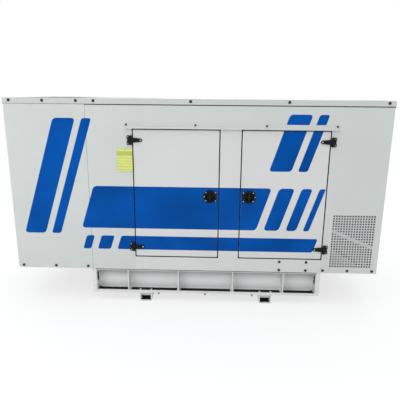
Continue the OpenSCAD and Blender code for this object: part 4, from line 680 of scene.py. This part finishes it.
def bright_screws():
    """All screws of the hinges and latches, each on the body that carries it."""
    fixed, arms = hinge_screws()
    latch_screws(fixed, arms)
    new_piece("hardware_screws", fixed, SET, "screw_steel")
    new_piece("left_door_screws", arms[LEFT], LEFT, "screw_steel")
    new_piece("right_door_screws", arms[RIGHT], RIGHT, "screw_steel")


# Livery: slanted bars of cut vinyl, split at the door gaps

FILM_T = 0.5 * MM
FILM_OFF = 0.1 * MM
FILM_EDGE = 0.2 * MM
TRIM_LIP = 2.5 * MM
SLANT = 0.32


def slanted_bar(left, right, low, high, radius):
    """A leaning bar with round corners, by its foot and its levels above the deck in millimetres."""
    lean = (high - low) * SLANT
    corners = ((left, low), (right, low), (right + lean, high), (left + lean, high))
    return rounded_outline([Vector((x * MM, DECK_Z + z * MM)) for x, z in corners], radius * MM)


def clipped(outline, low, high):
    """The part of a convex outline inside an upright rectangle."""
    for axis in (0, 1):
        for limit, way in ((low[axis], 1), (high[axis], -1)):
            kept = []
            for a, b in zip(outline, outline[1:] + outline[:1]):
                inside_a, inside_b = way * (a[axis] - limit), way * (b[axis] - limit)
                if inside_a >= 0:
                    kept.append(a)
                if inside_a * inside_b < 0:
                    kept.append(a.lerp(b, inside_a / (inside_a - inside_b)))
            outline = kept
    return outline


def side_cells():
    """Rectangles of one side as (body, low, high): the doors round their latches, and the fixed skin."""
    gap = DOOR_GAP + TRIM_LIP + FILM_EDGE
    cells = []
    for body, door, latch in ((LEFT, LEFT_DOOR, LEFT_LATCH), (RIGHT, RIGHT_DOOR, RIGHT_LATCH)):
        x = (latch[0].x + latch[1].x) / 2
        z = (latch[0].z + latch[1].z) / 2
        hole = LATCH_R / math.sqrt(2)
        low = Vector((door[0].x + FILM_EDGE, door[0].z + FILM_EDGE))
        high = Vector((door[1].x - FILM_EDGE, door[1].z - FILM_EDGE))
        cells += [(body, low, Vector((x - hole, high.y))), (body, Vector((x + hole, low.y)), high),
                  (body, Vector((x - hole, low.y)), Vector((x + hole, z - hole))),
                  (body, Vector((x - hole, z + hole)), Vector((x + hole, high.y)))]
    low_z, high_z = LEFT_DOOR[0].z - gap, LEFT_DOOR[1].z + gap
    openings = [x for door in (LEFT_DOOR, RIGHT_DOOR) for x in (door[0].x - gap, door[1].x + gap)]
    edges = [-END_X, *openings, END_X]
    for i, (left, right) in enumerate(zip(edges, edges[1:])):
        levels = ((DECK_Z, TOP_Z),) if i % 2 == 0 else ((DECK_Z, low_z), (high_z, TOP_Z))
        cells += [(SET, Vector((left, low)), Vector((right, high))) for low, high in levels]
    return cells


def livery():
    """A broad belt that breaks into short bars, a thin line under it and leaning bars at both ends."""
    belt, line = (385, 760), (190, 315)
    bars = [(-1000, 520, *belt, 34), (585, 715, *belt, 34), (775, 865, *belt, 30), (925, 975, *belt, 18)]
    bars += [(-1000, -930, *line, 20), (-870, -755, *line, 20), (-695, 1020, *line, 20)]
    bars += [(-1510, -1325, 330, 1330, 34), (-1270, -1190, 330, 1330, 22)]
    bars += [(610, 795, 905, 1375, 30), (850, 930, 905, 1375, 22)]
    films = {SET: bmesh.new(), LEFT: bmesh.new(), RIGHT: bmesh.new()}
    for bar in bars:
        outline = slanted_bar(*bar)
        for body, low, high in side_cells():
            patch = clipped(outline, low, high)
            if len(patch) > 2:
                add_plate(films[body], patch, SKIN_Y - FILM_OFF, SKIN_Y - FILM_T)
                add_plate(films[SET], patch, FILM_OFF - SKIN_Y, FILM_T - SKIN_Y)
    for name, body in (("canopy_livery", SET), ("left_door_livery", LEFT), ("right_door_livery", RIGHT)):
        new_piece(name, films[body], body, "livery_blue")


# Black strips as painted shade under the flanges, a seam bead, and dark fittings as painted shade in the base

# Heights of the black strips that stand in for the shadow lines under the roof flanges and at the foot of the
# canopy; width and thickness of the seam bead
ROOF_SHADOW_STRIP, HOOD_SHADOW_STRIP, BASE_SHADOW_STRIP, SEAM_W, SEAM_T = 7 * MM, 2 * MM, 6 * MM, 1.6 * MM, 0.3 * MM
POCKET_DROP, POCKET_IN = 96 * MM, 50 * MM
RIB_PLACES = (-700, -245, 245, 700)


def shadow_strip_section(back_y, face_y, top_z, tall, chamfer):
    """A strip's section in Y and Z, chamfered at its lower front edge."""
    return ((back_y, top_z), (face_y, top_z), (face_y, top_z - tall * 0.7), (face_y + chamfer, top_z - tall),
            (back_y, top_z - tall))


def bay_y(side, depth):
    """Y of a depth behind the face of the base, at the front (-1) or the rear (1)."""
    return side * (-BASE_Y - depth)


def shadow_strips_and_seam_bead():
    """Black rubber under the roof flanges and along the foot of the canopy, as painted shade for the shadow
    lines there, and a bead in the seam of the hood.
    """
    main, hood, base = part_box("main_roof"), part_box("hood_roof"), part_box("front_base_rail")
    inset, roof_in, roof_chamfer, base_in, base_chamfer = 1 * MM, 0.4 * MM, 0.8 * MM, 1.5 * MM, 1 * MM
    bm = bmesh.new()
    for side in (-1, 1):
        for roof, tall in ((main, ROOF_SHADOW_STRIP), (hood, HOOD_SHADOW_STRIP)):
            section = shadow_strip_section(SKIN_Y, ROOF_Y + roof_in, main[0].z, tall, roof_chamfer)
            add_bar(bm, roof[0].x + inset, roof[1].x - inset, [(-side * y, z) for y, z in section])
        section = shadow_strip_section(BASE_Y, SKIN_Y + base_in, DECK_Z, BASE_SHADOW_STRIP, base_chamfer)
        add_bar(bm, base[0].x, base[1].x, [(-side * y, z) for y, z in section])
        height = main[0].z - DECK_Z
        seam = rectangle(HOOD_X, DECK_Z + height / 2, SEAM_W, height)
        add_plate(bm, seam, -side * (SKIN_Y - FILM_OFF), -side * (SKIN_Y - SEAM_T))
    new_piece("shadow_strips_and_seam_bead", bm, SET, "rubber")


def shadow_pockets():
    """A blind black pocket behind each lifting slot, open to the bay: painted shade, so that the slot reads
    dark.
    """
    half_w, half_h, depth, wall, web = 18 * MM, 41 * MM, 24 * MM, 1.5 * MM, 8 * MM
    bm = bmesh.new()
    for way, mouth in ((-1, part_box("left_base_end")[1].x - web), (1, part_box("right_base_end")[0].x + web)):
        for side in (-1, 1):
            rings = []
            for back, inset in ((0, 0), (depth, 0), (depth - wall, wall), (0, wall)):
                w, h = half_w - inset, half_h - inset
                outline = rectangle(bay_y(side, POCKET_IN), DECK_Z - POCKET_DROP, 2 * w, 2 * h)
                rings.append([bm.verts.new((mouth + way * back, p.x, p.y)) for p in outline])
            for ring, after in ((0, 1), (2, 3), (3, 0)):
                join_rings(bm, rings[ring], rings[after])
            bm.faces.new(rings[1])
            bm.faces.new(rings[2])
    new_piece("shadow_pockets", bm, SET, "black_metal")


def slot_shadow_sleeves():
    """A black rubber grommet in each lifting slot: a sleeve through the slot and a rim on the side of the bay,
    as painted shade that makes the slot read dark.
    """
    half_w, half_h, wide, proud = 15 * MM, 38 * MM, 5 * MM, 2 * MM
    outer, inner, sleeve, off = -1.0 * MM, -1.9 * MM, -7.8 * MM, 0.1 * MM
    section = ((inner, sleeve), (inner, proud), (wide, proud * 0.6), (wide, off), (outer, off),
               (outer, sleeve))
    bm = bmesh.new()
    for way, face in ((1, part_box("left_base_end")[1].x), (-1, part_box("right_base_end")[0].x)):
        for side in (-1, 1):
            y, z = bay_y(side, POCKET_IN), DECK_Z - POCKET_DROP
            loops = []
            for grow, out in section:
                w, h = half_w + grow, half_h + grow
                outline = rounded_outline(rectangle(y, z, 2 * w, 2 * h), w * 0.95)
                loops.append([Vector((face + way * out, p.x, p.y)) for p in outline])
            add_strip(bm, loops)
    new_piece("slot_shadow_sleeves", bm, SET, "rubber")


def drain_shadow_strips():
    """A black rubber strip in the drain slot of each bay, and a pad on the flange at both ends of a rail:
    painted shade for the dark gap along the bottom of the bays.

    Both have a section as (front, back, low, high) from the face and the foot of the base, in millimetres.
    """
    strip, pad = (40.2, 93.8, 2, 5), (6.2, 99.8, 6.05, 7.5)
    rib_clear, inset = 16.2 * MM, 0.2 * MM
    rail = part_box("front_base_rail")
    start, end = rail[0].x, rail[1].x
    places = [start, *((start + end) / 2 + x * MM for x in RIB_PLACES), end]
    bays = [(left + rib_clear, right - rib_clear) for left, right in zip(places, places[1:])]
    corners = ((start + inset, start + rib_clear), (end - rib_clear, end - inset))
    bm = bmesh.new()
    for side in (-1, 1):
        for (front, back, low, high), spans in ((strip, bays), (pad, corners)):
            outline = in_mm(((front, low), (front, high), (back, high), (back, low)))
            section = [(bay_y(side, depth), BASE_LOW_Z + z) for depth, z in outline]
            for left, right in spans:
                add_bar(bm, left, right, section)
    new_piece("drain_shadow_strips", bm, SET, "rubber")


def foot_shadow_plates():
    """A black plate behind the window of each foot, and a pad on its floor that runs into the window: painted
    shade that makes the window read dark.

    The pad has a section as (depth behind the face of the base, height) in millimetres.
    """
    half_w, low, high, behind, thick = 45 * MM, 9 * MM, 44 * MM, 49.3 * MM, 2 * MM
    pad_half_w = 41.5 * MM
    pad = in_mm(((20, 8.05), (20, 11), (49.1, 11), (49.1, 10.05), (40.8, 10.05), (40.8, 8.05)))
    bm = bmesh.new()
    for mount in frame["record"]["mounts"]:
        x, side = mount["pos_m"][0], math.copysign(1, mount["pos_m"][1])
        outline = rectangle(x, (low + high) / 2, 2 * half_w, high - low)
        add_plate(bm, outline, bay_y(side, behind), bay_y(side, behind + thick))
        add_bar(bm, x - pad_half_w, x + pad_half_w, [(bay_y(side, depth), z) for depth, z in pad])
    new_piece("foot_shadow_plates", bm, SET, "black_metal")


# Rubber trim round the door openings, partly painted shade in the door gaps, and the card on the upper hinge

LIP = TRIM_LIP / MM
TRIM_SECTION = in_mm(((0, 0), (-LIP, -0.1), (-LIP, -0.4), (2.6, -0.4), (3.2, 0.4), (3.2, 4), (1.6, 6),
                      (1.6, 30), (0, 30)))


def door_trims_and_gap_shade():
    """A rubber edge round each door opening, by its section as (thickness, depth behind the skin); its black
    lip in the gap is also painted shade that makes the door gaps read dark.
    """
    bm = bmesh.new()
    for door in (LEFT_DOOR, RIGHT_DOOR):
        x, z = (door[0].x + door[1].x) / 2, (door[0].z + door[1].z) / 2
        width, height = (door[1].x - door[0].x + 2 * DOOR_GAP), (door[1].z - door[0].z + 2 * DOOR_GAP)
        for side in (-1, 1):
            loops = []
            for thick, depth in TRIM_SECTION:
                inner = rectangle(x, z, width - 2 * thick, height - 2 * thick)
                loops.append([Vector((p.x, side * (-SKIN_Y - depth), p.y)) for p in inner])
            add_strip(bm, loops)
    new_piece("door_trims_and_gap_shade", bm, SET, "rubber")


def hang_tag():
    """A blank card on a wire from the fixed leaf of the upper left hinge, bowed a little off the skin."""
    width, height, thick, lift, bow = 132 * MM, TAG_HIGH - TAG_LOW, 0.6 * MM, 1.5 * MM, 9 * MM
    edge_clear, eye_drop, wire_off, wire_r = 2 * MM, 10 * MM, 5 * MM, 1.1 * MM
    leaf_in, leaf_out, leaf_drop = 22 * MM, 7 * MM, 40 * MM
    right = LEFT_DOOR[0].x - DOOR_GAP - edge_clear
    columns, rows = 10, 14
    bm = bmesh.new()
    layers = []
    for face in (0, thick):
        grid = []
        for j in range(rows + 1):
            v = j / rows
            sag = bow * (math.sin(math.pi * v) * 0.5 + (1 - v) ** 2 * 0.8)
            grid.append([bm.verts.new((right - width * (1 - i / columns),
                                       SKIN_Y - lift - face - sag * (0.35 + 0.65 * (i / columns) ** 2),
                                       TAG_LOW + height * v)) for i in range(columns + 1)])
        layers.append(grid)
    for grid in layers:
        for j in range(rows):
            for i in range(columns):
                bm.faces.new((grid[j][i], grid[j][i + 1], grid[j + 1][i + 1], grid[j + 1][i]))
    rims = [grid[0] + [row[-1] for row in grid[1:]] + grid[-1][-2::-1] + [row[0] for row in grid[-2:0:-1]]
            for grid in layers]
    join_rings(bm, *rims)
    new_piece("hang_tag", bm, SET, "tag_card")
    eye = Vector((right - width / 2, SKIN_Y - lift - thick, TAG_HIGH - eye_drop))
    leaf_foot = Vector((LEFT_PIN.x - leaf_in, SKIN_Y - leaf_out, hinge_levels()[1] - leaf_drop))
    wire = bmesh.new()
    between = [eye.lerp(leaf_foot, share) + FRONT * wire_off for share in (0.35, 0.7)]
    add_tube(wire, [eye + FRONT * 2 * MM, *between, leaf_foot], wire_r, 8)
    add_turned(wire, facing(eye, FRONT), in_mm(((6, -0.5), (6, 1.2), (2.5, 1.6))), 18)
    new_piece("tag_wire", wire, SET, "screw_steel")


# Inside: fan belt, panel of the control cabinet, battery caps and engine bolts

CRANK_Z = DECK_Z + 390 * MM
FAN_RISE = 180 * MM


def fan_belt():
    """Belt of tapered section round the crank and fan pulleys."""
    crank_r, fan_r, tall, narrow, wide = 86 * MM, 58 * MM, 8 * MM, 8 * MM, 13 * MM
    steps, ahead = 24, 10 * MM
    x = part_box("engine_block")[0].x + ahead
    lean = math.asin((crank_r - fan_r) / FAN_RISE)
    path = []
    for radius, level, start, end in ((fan_r, CRANK_Z + FAN_RISE, lean, math.pi - lean),
                                      (crank_r, CRANK_Z, math.pi - lean, math.tau + lean)):
        for i in range(steps + 1):
            a = start + (end - start) * i / steps
            path.append((Vector((0, radius * math.cos(a), level + radius * math.sin(a))),
                         Vector((0, math.cos(a), math.sin(a)))))
    section = ((-narrow, -tall), (narrow, -tall), (wide, tall), (-wide, tall))
    bm = bmesh.new()
    add_strip(bm, [[at + out * rise / 2 + Vector((x + across / 2, 0, 0)) for at, out in path]
                   for across, rise in section])
    new_piece("fan_belt", bm, SET, "rubber")


def cabinet_panel():
    """Display window, button caps and the emergency stop of the control cabinet."""
    low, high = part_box("control_cabinet")
    middle = (low.x + high.x) / 2
    bezel_y, panel_y = low.y + 16 * MM, low.y + 24 * MM
    screen_z, button_z, stop_z = high.z - 122.5 * MM, high.z - 196 * MM, high.z - 280 * MM
    screen_w, screen_h, corner_r, glass_back, glass_face = 127 * MM, 72 * MM, 4 * MM, 3 * MM, 0.8 * MM
    pitch = 40 * MM
    glass_piece = bmesh.new()
    window = rounded_outline(rectangle(middle, screen_z, screen_w, screen_h), corner_r)
    add_plate(glass_piece, window, bezel_y + glass_back, bezel_y + glass_face)
    new_piece("display_window", glass_piece, SET, "display_glass")
    cap = in_mm(((10.5, 0.2), (10.5, 2.4), (9.6, 3.2), (9.4, 4.6), (8.2, 5.4), (5, 5.7)))
    collar = in_mm(((32, 0.2), (32, 1.4), (31, 2), (12, 2)))
    knob = in_mm(((20.4, 11), (21, 13), (21, 19), (19.5, 22.5), (15, 24.6), (7, 25.4)))
    caps = {"green_plastic": [0], "red_plastic": [1], "black_plastic": [2, 3, 4]}
    for material, places in caps.items():
        bm = bmesh.new()
        for i in places:
            at = Vector((middle + (i - 2) * pitch, bezel_y, button_z))
            add_turned(bm, facing(at, FRONT), cap, 24)
        new_piece("button_caps_" + material.split("_")[0], bm, SET, material)
    ring, head = bmesh.new(), bmesh.new()
    here = facing(Vector((middle, panel_y, stop_z)), FRONT)
    add_turned(ring, here, collar, 32)
    add_turned(head, here, knob, 32)
    new_piece("stop_ring", ring, SET, "yellow_plastic")
    new_piece("stop_head", head, SET, "red_plastic")


def battery_caps():
    """A red and a black cap on the battery's posts."""
    low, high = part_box("battery")
    middle = (low + high) / 2
    post_out, post_front = 115 * MM, 47.5 * MM
    cap = in_mm(((13, -18), (13, -3), (11.5, 1), (7, 3), (3, 3.6)))
    for name, way, material in (("red_post_cap", -1, "red_plastic"), ("black_post_cap", 1, "rubber")):
        bm = bmesh.new()
        at = Vector((middle.x + way * post_out, middle.y - post_front, high.z))
        add_turned(bm, facing(at, UP), cap, 24)
        new_piece(name, bm, SET, material)


def engine_bolts():
    """Bolts along the rocker cover and on the corners of the terminal box."""
    block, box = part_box("engine_block"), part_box("terminal_box")
    cover_half_w, across, corner_in, screw_r = 105 * MM, 13 * MM, 16 * MM, 5 * MM
    head_top = CRANK_Z + 400 * MM
    start, end, count = block[0].x + 90 * MM, block[1].x - 45 * MM, 9
    bm = bmesh.new()
    for i in range(count):
        x = start + (end - start) * i / (count - 1)
        for y in (-cover_half_w, cover_half_w):
            add_hex_bolt(bm, Vector((x, y, head_top)), UP, across)
    for x in (box[0].x + corner_in, box[1].x - corner_in):
        for y in (box[0].y + corner_in, box[1].y - corner_in):
            add_screw(bm, Vector((x, y, box[1].z)), UP, screw_r)
    new_piece("engine_bolts", bm, SET, "screw_steel")


make_camera()
light_scene()
make_floor()
dress_nodes()
canopy_bolts()
bright_screws()
livery()
shadow_strips_and_seam_bead()
shadow_pockets()
slot_shadow_sleeves()
drain_shadow_strips()
foot_shadow_plates()
door_trims_and_gap_shade()
hang_tag()
fan_belt()
cabinet_panel()
battery_caps()
engine_bolts()
